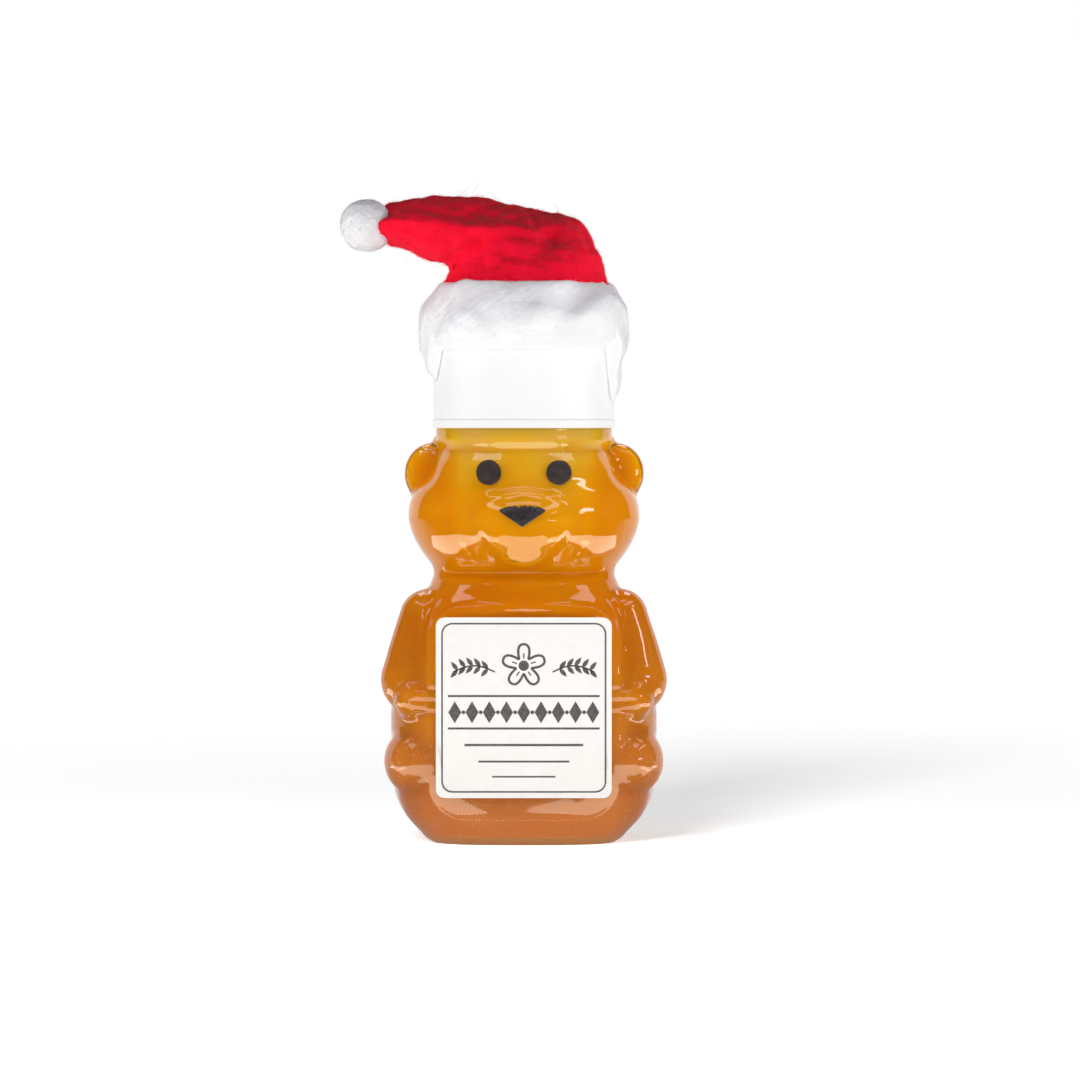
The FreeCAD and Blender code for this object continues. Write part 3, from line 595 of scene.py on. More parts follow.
# Rows of the neck as radius and height: the support ring, the rim down into the bore, the filling's top
RING_ROWS = (
    (RING_RADIUS, 59.6), (RING_RADIUS, 60.2), (RING_RADIUS, 60.45), (12.88, 60.58),
    (12.78, 60.68), (12.3, 60.7), (11.2, 60.7), (10.98, 60.76),
)
RIM_ROWS = (
    (NECK_RADIUS - 0.05, RIM - 0.08), (NECK_RADIUS - 0.2, RIM), (BORE_RADIUS + 0.2, RIM),
    (BORE_RADIUS + 0.05, RIM - 0.06), (BORE_RADIUS, RIM - 0.25), (BORE_RADIUS, 66.0),
    (BORE_RADIUS, 62.0), (BORE_RADIUS, 60.8), (BORE_RADIUS + 0.1, 60.55), (THROAT_RADIUS, FILL_TOP),
)
HONEY_ROWS = (
    (THROAT_RADIUS, 60.53), (FILL_BORE + 0.1, 60.58), (FILL_BORE, 60.75), (FILL_BORE, 61.2),
    (FILL_BORE, HONEY_TOP), (FILL_BORE - 0.5, HONEY_TOP - 0.25), (FILL_BORE - 2.0, HONEY_TOP - 0.4),
    (3.0, HONEY_TOP - 0.4),
)
BASE_SHARES, FLOOR_SHARES = (0.3, 0.6, 0.85, 0.97), (0.35, 0.7, 0.95)


def build_bottle():
    outer = skin_rows(skin, 0.0, 0.0, RING_BOTTOM, 280, 14)
    inner = skin_rows(shape, -WALL, FLOOR, FILL_TOP, 150, 10)
    rows = [outer[0] * share for share in BASE_SHARES] + list(outer)
    rows += [ring(*row) for row in RING_ROWS]
    for z in np.linspace(60.9, RIM - 0.25, 80):
        rows.append(ring(NECK_RADIUS + thread_height(ANGLE % TURN, z), z))
    rows += [ring(*row) for row in RIM_ROWS]
    rows += list(inner[::-1])
    flat = [inner[0] * (share, share, 1) for share in FLOOR_SHARES[::-1]]
    add_piece("bottle_shell", rows_mesh(rows + flat), PLASTIC, "bottle", "bottle")

    _, slope = gradient(shape, inner)
    fill = inner + HONEY_SINK * unit(slope)
    fill[0, :, 2] = FLOOR - HONEY_SINK
    fill[-1, :, 2] = FILL_TOP + HONEY_SINK
    rows = [fill[0] * (share, share, 1) for share in FLOOR_SHARES] + list(fill)
    rows += [ring(*row) for row in HONEY_ROWS]
    add_piece("honey_fill", rows_mesh(rows), HONEY, "bottle", "honey")


def front_skin(x, z):
    """Depth of the moulded skin's front."""
    near, far = np.full(x.shape, -4.0), np.full(x.shape, -25.0)
    return between(near, far, lambda y: skin(np.stack([x, y, z], -1)) < 0, 24)


PAINT_AROUND, PAINT_SINK = 180, 0.05
PAINT_SHARES = (0.15, 0.3, 0.45, 0.6, 0.72, 0.82, 0.9, 0.95, 0.985, 1.0)  # rows from the middle to the edge
# Nose: corners across and up, the middle that its outline is measured from, and its longest reach
NOSE_CORNERS = ((0.0, 46.3), (3.55, 48.75), (2.4, 49.25), (0.0, 49.5), (-2.4, 49.25), (-3.55, 48.75))
NOSE_MIDDLE, NOSE_REACH = (-0.2, 48.2), 3.36
NOSE_CHIPS = ((0.10, 17, 0.6), (0.09, 29, 2.0), (0.10, 11, 0.0))  # height, number around and start
NOSE_NOTCH, NOSE_NOTCH_ANGLE, NOSE_NOTCH_HALF, NOSE_WORN = 0.55, 1.95, 0.07, 0.05


def paint_patch(name, centre, outline, thickness, material, node):
    """Dab of paint on the head, with an outline given as radius by angle."""
    angle = TURN * np.arange(PAINT_AROUND) / PAINT_AROUND
    edge = outline(angle)
    layers = [(share, -PAINT_SINK) for share in PAINT_SHARES]
    layers += [(share, thickness * math.sqrt(max(0.0, 1 - share ** 10))) for share in PAINT_SHARES[::-1]]
    rows = []
    for share, tall in layers:
        x = centre[0] + share * edge * np.cos(angle)
        z = centre[1] + share * edge * np.sin(angle)
        rows.append(np.stack([x, front_skin(x, z) - tall, z], -1))
    add_piece(name, rows_mesh(rows), material, "bottle", node)


def nose_outline(a):
    """Rounded triangle with a chipped upper edge."""
    corners = np.array(NOSE_CORNERS) - (0, NOSE_MIDDLE[1])
    ahead = np.roll(corners, -1, 0) - corners
    normal = unit(np.stack([ahead[:, 1], -ahead[:, 0]], -1))
    reach = (normal * corners).sum(-1)
    facing = np.stack([np.cos(a), np.sin(a)], -1) @ normal.T
    sides = np.where(facing > 1e-6, reach / np.maximum(facing, 1e-6), NOSE_REACH)
    best = np.minimum(sides.min(-1), NOSE_REACH)
    chips = sum(tall * np.sin(count * a + start) for tall, count, start in NOSE_CHIPS)
    top = smooth(0.25, 0.6, np.sin(a))
    notch = NOSE_NOTCH * np.exp(-((a - NOSE_NOTCH_ANGLE) / NOSE_NOTCH_HALF) ** 2)
    return best + chips * top * 0.9 - notch - NOSE_WORN * top


def build_face():
    def eye(seed):
        return lambda a: EYE_RADIUS * (1 + 0.012 * np.sin(2 * a + seed) + 0.008 * np.sin(5 * a + 2 * seed))

    for name, side, seed in (("eye_left", 1, 1.3), ("eye_right", -1, 4.1)):
        paint_patch(name + "_dab", (side * EYE_SPACING / 2, EYE_HEIGHT), eye(seed), 0.09, EYE_PAINT, name)
    paint_patch("nose_dab", NOSE_MIDDLE, nose_outline, 0.10, NOSE_PAINT, "nose_paint")


# Label print

INK_DEPTHS = (LABEL_FACE + 0.004, LABEL_FACE - 0.012)
FINE_LINE, RULE_LINE, PETAL_LINE, VEIN_LINE = 0.24, 0.3, 0.36, 0.2
FRAME_INSET, FRAME_CORNER = 0.9, 1.5
FLOWER, PETALS, PETAL_STEPS, FLOWER_CORE = (0.0, 6.1), 5, 160, 0.75
PETAL_MEAN, PETAL_SWING, PETAL_DENT = 2.35, 0.95, 0.18
VEIN = (1.05, 1.4, 1.8)
STEM_START, STEM_END, STEM_LENGTH, STEM_HEIGHT, STEM_RISE = 4.2, 10.2, 6.0, 5.2, 0.9
LEAVES, LEAF_LENGTH, LEAF_WIDTH, LEAF_ANGLES = (5.2, 9.6, 5), 1.55, 0.62, (52, -48)
RULES, RULE_HALF = (1.7, -3.0), 11.0
DIAMOND, DIAMOND_STEP = ((0.95, -0.65), (0.0, 0.95), (-0.95, -0.65), (0.0, -2.25)), 2.5
DOT_MIDDLE, DOT_RADIUS = (1.25, -0.65), 0.28
SHORT_RULES = ((-5.4, 8.6, 0.34), (-7.8, 6.6, 0.28), (-10.0, 4.6, 0.24))  # height, half length, width


class Print:
    """Thin ink shapes on the label's face, in millimetres across and up from its middle."""

    def __init__(self):
        self.points, self.faces = [], []

    def add(self, rows, **ends):
        base = len(self.points)
        points, faces = rows_mesh(rows, **ends)
        self.points += points.tolist()
        self.faces += [[base + i for i in face] for face in faces]

    def prism(self, outline):
        self.add([[(x, depth, LABEL_MIDDLE + z) for x, z in outline] for depth in INK_DEPTHS])

    def line(self, places, width, closed=False):
        p = np.array(places, float)
        way = unit(np.roll(p, -1, 0) - np.roll(p, 1, 0) if closed else np.gradient(p, axis=0))
        side = np.stack([-way[:, 1], way[:, 0]], -1) * width / 2
        back, front = INK_DEPTHS
        corners = np.stack([p + side, p - side, p - side, p + side], 1)
        depth = np.broadcast_to((front, front, back, back), corners.shape[:2])
        rows = np.stack([corners[..., 0], depth, LABEL_MIDDLE + corners[..., 1]], -1)
        self.add(rows, start_cap=not closed, end_cap=not closed, loop=closed)


def polar(middle, radius, angle):
    return middle[0] + radius * math.cos(angle), middle[1] + radius * math.sin(angle)


def rounded_frame(half_x, half_z, corner):
    places = []
    for qx, qz, start in ((1, 1, 0), (-1, 1, 1), (-1, -1, 2), (1, -1, 3)):
        for step in range(9):
            middle = (qx * (half_x - corner), qz * (half_z - corner))
            places.append(polar(middle, corner, (start + step / 8) * TURN / 4))
    return places


def disc(middle, radius, count):
    return [polar(middle, radius, TURN * i / count) for i in range(count)]


def level_line(half, z):
    return [(x, z) for x in np.linspace(-half, half, 12)]


def stem_height(x):
    return STEM_HEIGHT + STEM_RISE * math.sin((x - STEM_START) / STEM_LENGTH * math.pi)


def leaf(x, z, length, width, angle):
    t = np.linspace(0, 1, 12)
    belly = width / 2 * np.sin(math.pi * t ** 0.8)
    along = np.concatenate([t, t[-2:0:-1]]) * length
    across = np.concatenate([belly, -belly[-2:0:-1]])
    c, s = math.cos(angle), math.sin(angle)
    return [(x + c * a - s * b, z + s * a + c * b) for a, b in zip(along, across)]


def build_print():
    """Generic flower, leaves, diamonds and rules inside a frame."""
    art = Print()
    frame_half = [half - FRAME_INSET for half in LABEL_HALF]
    art.line(rounded_frame(*frame_half, FRAME_CORNER), FINE_LINE, closed=True)
    petals = []
    for step in range(PETAL_STEPS):
        a = TURN * step / PETAL_STEPS
        up = a - TURN / 4
        r = PETAL_MEAN + PETAL_SWING * math.cos(PETALS * up) - PETAL_DENT * math.cos(2 * PETALS * up)
        petals.append(polar(FLOWER, r, a))
    art.line(petals, PETAL_LINE, closed=True)
    art.prism(disc(FLOWER, FLOWER_CORE, 40))
    for step in range(PETALS):
        a = TURN * step / PETALS + TURN / 4
        art.line([polar(FLOWER, r, a) for r in VEIN], VEIN_LINE)
    for side in (1, -1):
        art.line([(side * x, stem_height(x)) for x in np.linspace(STEM_START, STEM_END, 24)], FINE_LINE)
        for x in np.linspace(*LEAVES):
            for turn in np.radians(LEAF_ANGLES):
                a = turn if side > 0 else math.pi - turn
                art.prism(leaf(side * x, stem_height(x), LEAF_LENGTH, LEAF_WIDTH, a))
    for level in RULES:
        art.line(level_line(RULE_HALF, level), RULE_LINE)
    for step in range(-4, 5):
        x = DIAMOND_STEP * step
        art.prism([(x + across, z) for across, z in DIAMOND])
        if step < 4:
            art.prism(disc((x + DOT_MIDDLE[0], DOT_MIDDLE[1]), DOT_RADIUS, 20))
    for level, half, width in SHORT_RULES:
        art.line(level_line(half, level), width)
    add_piece("label_print", (art.points, art.faces), INK, "bottle", flat=True)


# Hat

FELT_GRID, BRIM_GRID, POMPOM_GRID = (260, 260), (330, 90), (60, 110)
# Unevenness: height, size and seed
FELT_WAVES = ((0.16, 7.0, 11), (0.07, 2.6, 12))
BRIM_WAVES = ((0.20, 6.0, 21), (0.035, 2.6, 22), (0.02, 1.0, 23))
POMPOM_WAVES = ((0.06, 3.8, 41), (0.02, 1.2, 42))
# Fibres: count, length, thickness, lay (0 upright, 1 flat), seed, curl and segments
FELT_FUZZ = (15000, 0.65, 0.045, 0.60, 51, 0.9, 3)
FELT_STRAYS = (60, 2.6, 0.05, 0.6, 52, 1.2, 7)
BRIM_PILE = (20000, 0.55, 0.035, 0.74, 31, 0.6, 3)
POMPOM_PILE = (6000, 0.36, 0.035, 0.78, 43, 0.6, 3)
FIBRE_SINK, FIBRE_DROOP, FIBRE_TAPER, FIBRE_LENGTHS = 0.06, 0.25, 0.6, (0.45, 1.35)


def spline_basis(count, t):
    """Weights of a clamped cubic spline's points at each place along it."""
    inner = [i / (count - 3) for i in range(1, count - 3)]
    knots = np.array([0.0] * 4 + inner + [1.0] * 4)
    t = np.clip(t, 0, 1 - 1e-9)[:, None]
    weights = ((t >= knots[:-1]) & (t < knots[1:])).astype(float)
    for degree in range(1, 4):
        columns = weights.shape[1] - 1
        left, right = knots[:columns], knots[degree + 1:degree + 1 + columns]
        low, high = knots[degree:degree + columns], knots[1:1 + columns]
        empty = np.zeros((len(t), columns))
        rise = np.divide(t - left, low - left, out=empty.copy(), where=low > left)
        fall = np.divide(right - t, right - high, out=empty, where=right > high)
        weights = rise * weights[:, :-1] + fall * weights[:, 1:]
    return weights


LID_OPEN = math.radians(110)
BACK_HALF, HINGE_ZONE = 2.8, 11.93  # depths where the hat's back, and the part over the hinge, begin
HEM_GAP, OPEN_GAP = 0.4, 1.0  # room above the parting, and above the cap when the lid is open


def flip_clear(y):
    """Lowest height for the hat's back, so that it clears the cap when the lid is open."""
    line = PARTING + (OPEN_GAP - (y - HINGE_Y) * math.cos(LID_OPEN)) / math.sin(LID_OPEN)
    return np.where(y < BACK_HALF, 0.0, np.where(y < HINGE_ZONE, PARTING + HEM_GAP, line))


def lumps(p, table):
    """Soft fields added up, each given as height, size and seed."""
    return sum(tall * waves(p, size, seed) for tall, size, seed in table)


def grid_normals(p):
    """Outward normals of rows of points around an axis."""
    around = np.roll(p, -1, 1) - np.roll(p, 1, 1)
    along = np.gradient(p, axis=0)
    return unit(np.cross(around, along))


def cone_surface():
    """Rows of the felt's outside, from its hem to the tip."""
    ups = [(SLEEVE_TOP - FELT_BOTTOM) / CONE_HEIGHT * (share - 1) for share in SLEEVE_ROW_SHARES]
    sections = [((-1, up), (1, up), 1) for up in ups] + list(CONE_SECTION_SHARES)
    left, right, deep = [np.array(column) for column in zip(*sections)]
    rows, around = FELT_GRID
    t = np.linspace(0, 1, rows)
    basis = spline_basis(len(sections), t)
    scale = (FELT_OUTER, CONE_HEIGHT)
    m = basis @ ((left + right) / 2 * scale + (0, SLEEVE_TOP))
    a = basis @ ((right - left) / 2 * scale)
    d = basis @ deep * FELT_OUTER
    angle = TURN * np.arange(around) / around + TURN / 4
    p = np.empty((rows, around, 3))
    p[..., 0] = m[:, :1] + a[:, :1] * np.cos(angle)
    p[..., 1] = d[:, None] * np.sin(angle)
    p[..., 2] = m[:, 1:] + a[:, 1:] * np.cos(angle)
    hem = np.maximum(FELT_BOTTOM, flip_clear(p[0, :, 1]))
    sleeve = (p[..., 2] < SLEEVE_TOP) & (t[:, None] < 0.4)
    raised = SLEEVE_TOP - (SLEEVE_TOP - p[..., 2]) * (SLEEVE_TOP - hem) / (SLEEVE_TOP - FELT_BOTTOM)
    p[..., 2] = np.where(sleeve, raised, p[..., 2])
    return p, t, angle


FOLD_FLAT, FOLD_SHARES = 1.0, (0.42, 0.62)  # press on the folded part's upper sides, where it begins
FREE_HEIGHTS, TIP_SHARE = (82.3, 85.5), 0.03  # where folds begin above the brim and end at the tip
TUCK, TUCK_HEIGHTS = 0.35, (81.8, 80.0)  # the felt draws in under the brim
# Soft valleys and ridges of the felt: side (-1 front), start and end across and up, half width, height
FELT_FOLDS = (
    (-1, (-10.6, 85.4), (-6.5, 88.0), 0.9, -0.75),
    (-1, (-6.5, 88.0), (-1.0, 88.8), 1.1, -0.45),
    (-1, (-9.6, 84.0), (-4.0, 85.6), 1.0, 0.45),
    (-1, (-8.0, 89.6), (2.0, 90.0), 1.3, 0.40),
    (-1, (2.0, 91.0), (9.5, 87.0), 1.2, -0.35),
    (-1, (5.5, 91.6), (11.0, 84.5), 1.3, 0.30),
    (-1, (-19.0, 90.0), (-12.0, 88.6), 1.2, -0.28),
    (1, (-10.6, 85.4), (-5.0, 87.2), 1.0, -0.70),
    (1, (-5.0, 87.2), (3.0, 89.4), 1.3, -0.40),
    (1, (-9.0, 89.8), (4.0, 91.0), 1.4, 0.35),
    (1, (-18.5, 91.2), (-10.0, 89.0), 1.2, -0.30),
    (1, (4.0, 86.0), (10.0, 83.0), 1.4, -0.30),
)


def build_cone():
    p, t, angle = cone_surface()
    normal = grid_normals(p)
    free = smooth(*FREE_HEIGHTS, p[..., 2]) * smooth(0.0, TIP_SHARE, 1 - t)[:, None]
    fold = smooth(*FOLD_SHARES, t)[:, None] * np.abs(np.sin(2 * angle)) * (np.cos(angle) > 0)
    push = lumps(p, FELT_WAVES) - FOLD_FLAT * fold
    for side, start, end, width, tall in FELT_FOLDS:
        face = smooth(0.0, 2.5, side * p[..., 1])
        push += tall * stroke(p[..., 0], p[..., 2], start, end, width) * face
    tuck = TUCK * smooth(*TUCK_HEIGHTS, p[..., 2])
    p = p + normal * (push * free - tuck + 0.010 * waves(p, 0.9, 13, 24))[..., None]
    inner = p[:-6] - FELT * grid_normals(p)[:-6]
    rows = np.concatenate([inner[::-1], p])
    cone = add_piece("felt_cone", rows_mesh(rows), RED, "hat", "hat_cone")
    return p


def strands(name, rows, fibres, material, keep=None):
    """Fine fibres rooted evenly over those rows of points that are kept."""
    count, length, thick, lay, seed, curl, segments = fibres
    rng = np.random.RandomState(seed)
    a, b = rows[:-1], rows[1:]
    corners = np.stack([a, np.roll(a, -1, 1), np.roll(b, -1, 1), b], -2).reshape(-1, 4, 3)
    cross = np.cross(corners[:, 2] - corners[:, 0], corners[:, 3] - corners[:, 1])
    area = np.linalg.norm(cross, axis=-1)
    if keep is not None:
        area = area * keep(corners.mean(1))
    pick = rng.choice(len(area), count, p=area / area.sum())
    u, v = rng.rand(count, 1), rng.rand(count, 1)
    c = corners[pick]
    normal = unit(cross[pick])
    root = (1 - u) * (1 - v) * c[:, 0] + u * (1 - v) * c[:, 1]
    root += u * v * c[:, 2] + (1 - u) * v * c[:, 3]
    root -= FIBRE_SINK * normal
    flat = unit(np.cross(normal, rng.normal(size=(count, 3))))
    way = unit(normal * (1 - lay) + flat * lay)
    bend = curl * np.cross(normal, flat) * rng.normal(size=(count, 1)) - FIBRE_DROOP * lay * normal
    size = length * rng.uniform(*FIBRE_LENGTHS, (count, 1))
    side = unit(np.cross(way, rng.normal(size=(count, 3))))
    other = np.cross(way, side)
    share = (np.arange(segments + 1) / segments)[:, None]
    path = root[:, None] + size[:, None] * (way[:, None] * share + bend[:, None] * share ** 2)
    turn = TURN * np.arange(3)[:, None] / 3
    spread = side[:, None] * np.cos(turn) + other[:, None] * np.sin(turn)
    radius = (thick / 2 * (1 - FIBRE_TAPER * share[:-1]))[:, None]
    tube = path[:, :-1, None] + radius * spread[:, None]
    points = np.concatenate([tube.reshape(count, -1, 3), path[:, -1:]], 1)
    tip = segments * 3
    base = (np.arange(count) * (tip + 1))[:, None, None]
    edges = ((0, 1), (1, 2), (2, 0))
    quads = [[s + i, s + j, s + 3 + j, s + 3 + i] for s in range(0, tip - 3, 3) for i, j in edges]
    tips = [[tip - 3 + i, tip - 3 + j, tip] for i, j in edges] + [[2, 1, 0]]
    faces = (base + np.array(quads)).reshape(-1, 4).tolist()
    faces += (base + np.array(tips)).reshape(-1, 3).tolist()
    add_piece(name, (points.reshape(-1, 3), faces), material, "hat")


def felt_reach(z):
    """Radius just inside the felt's outside, around the brim."""
    return FELT_OUTER - 0.2 - 0.45 * np.maximum(z - SLEEVE_TOP, 0)


def above(height):
    return lambda c: (c[:, 2] > height).astype(float)


def brim_surface():
    """Rows around the brim's section, one for each direction from the axis."""
    around, turns = BRIM_GRID
    angle = TURN * np.arange(around) / around
    right = np.cos(angle) > 0
    drop = np.where(right, BRIM_RIGHT_DROP, BRIM_LEFT_DROP)
    side = np.where(right, np.cos(angle + DROP_FORWARD), -np.cos(angle - DROP_FORWARD))
    drop = drop * smooth(FLAP_START_SHARE, 1.0, side)
    shares = np.array(BRIM_SECTION_SHARES)
    s = len(shares) * np.arange(turns) / turns
    section = np.zeros((turns, 3))
    first = np.floor(s).astype(int)
    f = (s - first)[:, None]
    for k, weight in enumerate(((1 - f) ** 3 / 6, (3 * f ** 3 - 6 * f ** 2 + 4) / 6,
                                (-3 * f ** 3 + 3 * f ** 2 + 3 * f + 1) / 6, f ** 3 / 6)):
        section += weight * shares[(first + k) % len(shares)]
    out_share, up_share, drop_share = section.T[:, None]
    inner = BRIM_INNER - BRIM_HUG
    radius = inner + (BRIM_OUTER - inner) * out_share + 0 * drop[:, None]
    z = BRIM_LOW + BRIM_HEIGHT * up_share - drop[:, None] * drop_share
    hang = np.clip((BRIM_LOW - z) / BRIM_RIGHT_DROP, 0, 1)
    slope = (np.roll(drop, -1) - np.roll(drop, 1)) * around / (2 * TURN * BRIM_OUTER)
    edge = (z - (BRIM_LOW - drop[:, None] - 0.3)) / np.hypot(1, slope)[:, None]
    feather = 0.05 + 0.95 * smooth(0.0, BRIM_FEATHER, edge)
    radius = inner + (radius - inner) * (1 - FLAP_THINNING * hang) * feather
    radius = np.where(z > FELT_BOTTOM, np.maximum(radius, felt_reach(z)), radius)
    p = np.stack([radius * np.cos(angle)[:, None], radius * np.sin(angle)[:, None], z], -1)
    out = unit(p * (1, 1, 0))
    outer = smooth(0.15, 0.8, radius - felt_reach(z))
    p = p + out * (lumps(p, BRIM_WAVES) * outer)[..., None]
    p[..., 2] += 0.20 * waves(p, 5.0, 24) * outer
    p[..., 2] = np.maximum(p[..., 2], flip_clear(p[..., 1]) + 0.03 * out_share)
    return p


def build_brim():
    p = brim_surface()
    rows = np.swapaxes(p, 0, 1)[::-1]
    ring_mesh = rows_mesh(rows, False, False, loop=True)
    brim = add_piece("plush_brim", ring_mesh, PLUSH, "hat", "hat_brim")

    def outside(c):
        reach = np.hypot(c[:, 0], c[:, 1]) - felt_reach(c[:, 2])
        hanging = (c[:, 2] < BRIM_LOW + 0.8) & (reach > -0.55)
        return ((reach > 0.12) | hanging).astype(float) * (c[:, 2] > flip_clear(c[:, 1]) + 0.3)

    closed = np.concatenate([rows, rows[:1]])
    strands("brim_fibres", closed, BRIM_PILE, PLUSH_FIBRE, outside)


def build_pompom():
    rows, around = POMPOM_GRID
    polar = math.pi * (np.arange(rows) + 0.5) / rows
    angle = TURN * np.arange(around) / around
    way = np.stack([-np.cos(polar)[:, None] + 0 * angle, np.sin(polar)[:, None] * np.cos(angle),
                    -np.sin(polar)[:, None] * np.sin(angle)], -1)
    reach = POMPOM_RADIUS - 0.12 + lumps(way * POMPOM_RADIUS, POMPOM_WAVES)
    p = way * reach[..., None] + POMPOM
    ball = add_piece("plush_pompom", rows_mesh(p), PLUSH, "hat", "hat_pompom")
    strands("pompom_fibres", p, POMPOM_PILE, PLUSH_FIBRE)


def build_hinge():
    """Living hinge strap, curved around the hinge's axis where cap and lid meet."""
    turn = np.radians(np.linspace(-90, 90, 25))
    xs = np.linspace(-HINGE_WIDTH / 2, HINGE_WIDTH / 2, 17)
    web = HINGE_WEB * (1.0 - 0.25 * np.cos(turn) ** 4)

    def arc(x, reach):
        return np.stack([x + 0 * turn, HINGE_Y + reach * np.cos(turn), PARTING + reach * np.sin(turn)], -1)

    rows = [np.concatenate([arc(x, HINGE_BORE + web), arc(x, HINGE_BORE)[::-1]]) for x in xs]
    points, faces = rows_mesh(rows, False, False)
    n = len(turn)
    for first, flip in ((0, True), ((len(xs) - 1) * 2 * n, False)):
        for i in range(n - 1):
            quad = [first + i, first + i + 1, first + 2 * n - 2 - i, first + 2 * n - 1 - i]
            faces.append(quad[::-1] if flip else quad)
    strap = add_piece("hinge_strap", (points, faces), WHITE, None, "living_hinge")
    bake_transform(strap)


def dress_solids():
    """Materials for the solids that stay as they are."""
    finishes = {"front_label": PAPER, "cap_base": WHITE, "cap_lid": WHITE, "seal_washer": FOAM}
    for node, material in finishes.items():
        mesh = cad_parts[node].data
        mesh.materials.clear()
        mesh.materials.append(material)


build_bottle()
build_face()
build_print()
felt_rows = build_cone()
strands("felt_fibres", felt_rows, FELT_FUZZ, RED_FIBRE, above(80.5))
strands("felt_strays", felt_rows, FELT_STRAYS, RED_FIBRE, above(82.0))
build_brim()
build_pompom()
build_hinge()
dress_solids()


# Studio

MIDDLE = (0, 0, 0.045)
CREAM = (1.0, 0.98, 0.76)
LYING = 0.001  # height of the lamps that lie on the floor and shine up
CARD_TURN = math.radians(63)
# Lamps: name, place, size, radiance, the rays that see it and colour; the first few stand on both sides
SIDE_LAMPS = (
    ("side", (0.95, -0.25, 0.16), (0.5, 0.30), 7.4),
    ("card", (0.063, -0.006, LYING), (0.068, 0.028), 5.2, "gloss", CREAM),
    ("brow", (0.51, -0.26, 0.80), (0.58, 0.13), 3.0, "gloss"),
)
KEY_LAMP = ("key", (0.10, -1.0, 0.18), (0.6, 0.34), 3.8)
OTHER_LAMPS = (
    ("front_card", (0, -0.048, LYING), (0.10, 0.056), 4.2, "gloss", CREAM),
    ("bounce", (0, -0.085, LYING), (0.24, 0.08), 0.5),
    ("window", (0.61, -0.51, 0.16), (0.20, 0.08), 12.0, "gloss"),
    ("high_window", (0.64, -0.29, 0.61), (0.24, 0.022), 10.0, "gloss"),
    ("overhead", (0, -0.25, 0.95), (0.7, 0.15), 2.4, "gloss"),
    ("rear_top", (0, 0.45, 0.88), (0.8, 0.34), 5.0, "gloss"),
)
SHADOW_LAMP = ("shadow_lamp", (-0.19, -0.93, 0.36), (0.22, 0.22), 75.0)
FLOOR_SIDE, FLOOR_FRONT, FLOOR_BACK, FLOOR_TONE = 1.2, -0.40, 2.0, (0.9, 0.9, 0.9)
# The floor's glow: distances, and strengths there, for the camera, through glass and in gloss
SEEN_GLOW = (0.15, 0.80, 0.50, 1.0)
THROUGH_GLOW = (0.15, 0.60, 0.35, 1.0)
ROUND_GLOW, ROUND_MIDDLE = (0.46, 0.52, 0.9, 0.03), (0, 0.5, 0)
DIFFUSE_GLOW = 0.16
BACK_WEDGE = (0.55, 0.62)  # how far back a direction leads where the white backdrop begins
WEDGE_GLOW = (0.03, 0.9)
SKY_HEIGHTS, SKY_LIGHT = (0.05, 0.75), (0.55, 0.02)  # soft light from low down, little from above
SKY_GLOSS, SKY_THROUGH = 0.03, 0.75
CAMERA, CAMERA_TARGET, LENS, SENSOR = (0.00235, -1.0, 0.061), (0.00235, 0, 0.0442), 227, 36


def aim(obj, place, target):
    obj.location = place
    obj.rotation_euler = (Vector(target) - Vector(place)).to_track_quat("-Z", "Y").to_euler()


def add_lamp(name, place, size, radiance, seen_by="diffuse", colour=(1, 1, 1)):
    """Area lamp of an even radiance that lights surfaces, or that only gloss shows."""
    data = bpy.data.lights.new(name, "AREA")
    data.shape = "RECTANGLE"
    data.size, data.size_y = size
    data.energy = radiance * math.pi * size[0] * size[1]
    data.color = colour
    obj = put(name, data)
    aim(obj, place, (place[0], place[1], 0.1) if place[2] == LYING else MIDDLE)
    obj.visible_camera = False
    obj.visible_diffuse = seen_by == "diffuse"
    obj.visible_glossy = seen_by == "gloss"
    obj.visible_transmission = seen_by == "diffuse"
    return obj


def build_lamps(floor):
    add_lamp(*KEY_LAMP)
    for side in (1, -1):
        for name, (x, y, z), *rest in SIDE_LAMPS:
            lamp = add_lamp(name, (side * x, y, z), *rest)
            if name == "card":
                lamp.rotation_euler = (math.pi, 0, side * CARD_TURN)
    for lamp in OTHER_LAMPS:
        add_lamp(*lamp)
    shadow_lamp = add_lamp(*SHADOW_LAMP)
    only_floor = bpy.data.collections.new("only_floor")
    only_floor.objects.link(floor)
    shadow_lamp.light_linking.receiver_collection = only_floor


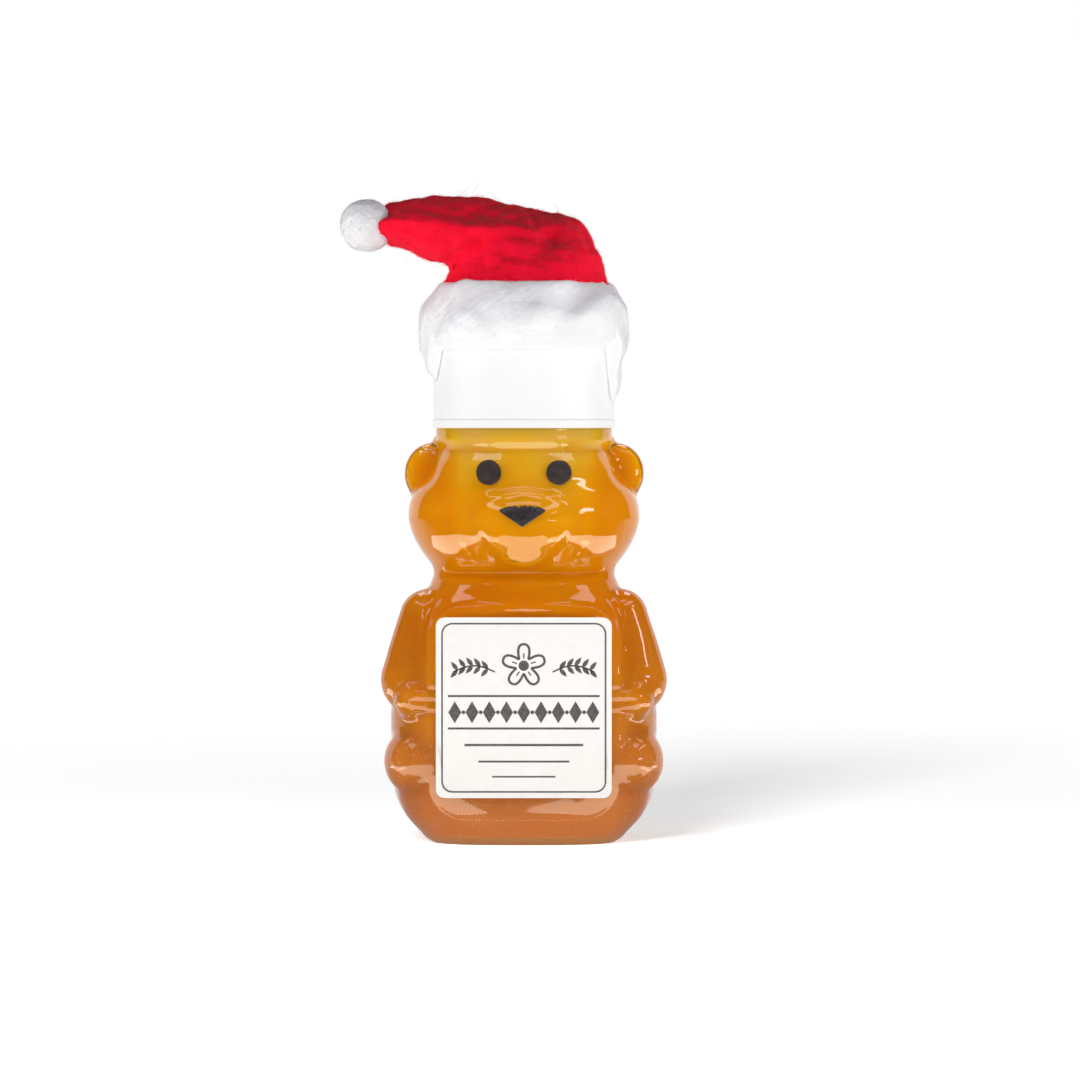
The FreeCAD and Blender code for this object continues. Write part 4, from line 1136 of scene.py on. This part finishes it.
def build_floor():
    """Pale floor that looks white to the camera and in gloss, and keeps the object's shadow."""
    corners = [(-FLOOR_SIDE, FLOOR_FRONT, 0), (FLOOR_SIDE, FLOOR_FRONT, 0),
               (FLOOR_SIDE, FLOOR_BACK, 0), (-FLOOR_SIDE, FLOOR_BACK, 0)]
    mesh = bpy.data.meshes.new("floor")
    mesh.from_pydata(corners, [], [(0, 1, 2, 3)])
    s = Shader("floor", Roughness=0.9, Specular_IOR_Level=0.0, Emission_Color=(1, 1, 1, 1))
    path = s.node("ShaderNodeLightPath").outputs
    away = s.vector("LENGTH")["Value"]
    from_round = s.vector("DISTANCE", ROUND_MIDDLE)["Value"]
    back_share = s.part(s.vector("NORMALIZE")[0], 1)
    gloss = s.math("MAXIMUM", s.span(from_round, *ROUND_GLOW), s.span(back_share, *BACK_WEDGE, *WEDGE_GLOW))
    glow = s.math("ADD", s.math("MULTIPLY", path["Is Camera Ray"], s.span(away, *SEEN_GLOW)),
                  s.math("MULTIPLY", path["Is Transmission Ray"], s.span(away, *THROUGH_GLOW)))
    glow = s.math("ADD", glow, s.math("MULTIPLY", path["Is Diffuse Ray"], DIFFUSE_GLOW))
    straight = s.math("SUBTRACT", 1.0, path["Is Transmission Ray"])
    mirrored = s.math("MULTIPLY", path["Is Glossy Ray"], straight)
    s.feed("Emission Strength", s.math("ADD", glow, s.math("MULTIPLY", mirrored, gloss)))
    s.feed("Base Color", s.mix(mirrored, FLOOR_TONE, (0, 0, 0)))
    mesh.materials.append(s.material)
    floor = put("floor", mesh)
    return floor


def build_world():
    """White to the camera, through glass and behind for gloss, and soft light elsewhere."""
    world = bpy.data.worlds.new("studio")
    bpy.context.scene.world = world
    world.use_nodes = True
    s = Nodes(world.node_tree, "Generated")

    def choose(factor, first, second):
        return s.math("ADD", first, s.math("MULTIPLY", s.math("SUBTRACT", second, first), factor))

    path = s.node("ShaderNodeLightPath").outputs
    backdrop = s.span(s.part(s.place, 1), *BACK_WEDGE, 0.0, 1.0)
    ambient = s.span(s.height(), *SKY_HEIGHTS, *SKY_LIGHT)
    strength = choose(path["Is Glossy Ray"], ambient, choose(backdrop, SKY_GLOSS, 1.0))
    strength = choose(path["Is Transmission Ray"], strength, choose(backdrop, SKY_THROUGH, 1.0))
    strength = choose(path["Is Camera Ray"], strength, 1.0)
    s.set(s.tree.nodes["Background"], {"Color": (1, 1, 1, 1), "Strength": strength})


def build_camera():
    data = bpy.data.cameras.new("camera")
    data.sensor_width = SENSOR
    data.lens = LENS
    data.clip_start, data.clip_end = 0.01, 20
    camera = put("camera", data)
    aim(camera, CAMERA, CAMERA_TARGET)
    bpy.context.scene.camera = camera


floor = build_floor()
build_world()
build_camera()
build_lamps(floor)
bpy.context.scene.view_settings.view_transform = "Standard"
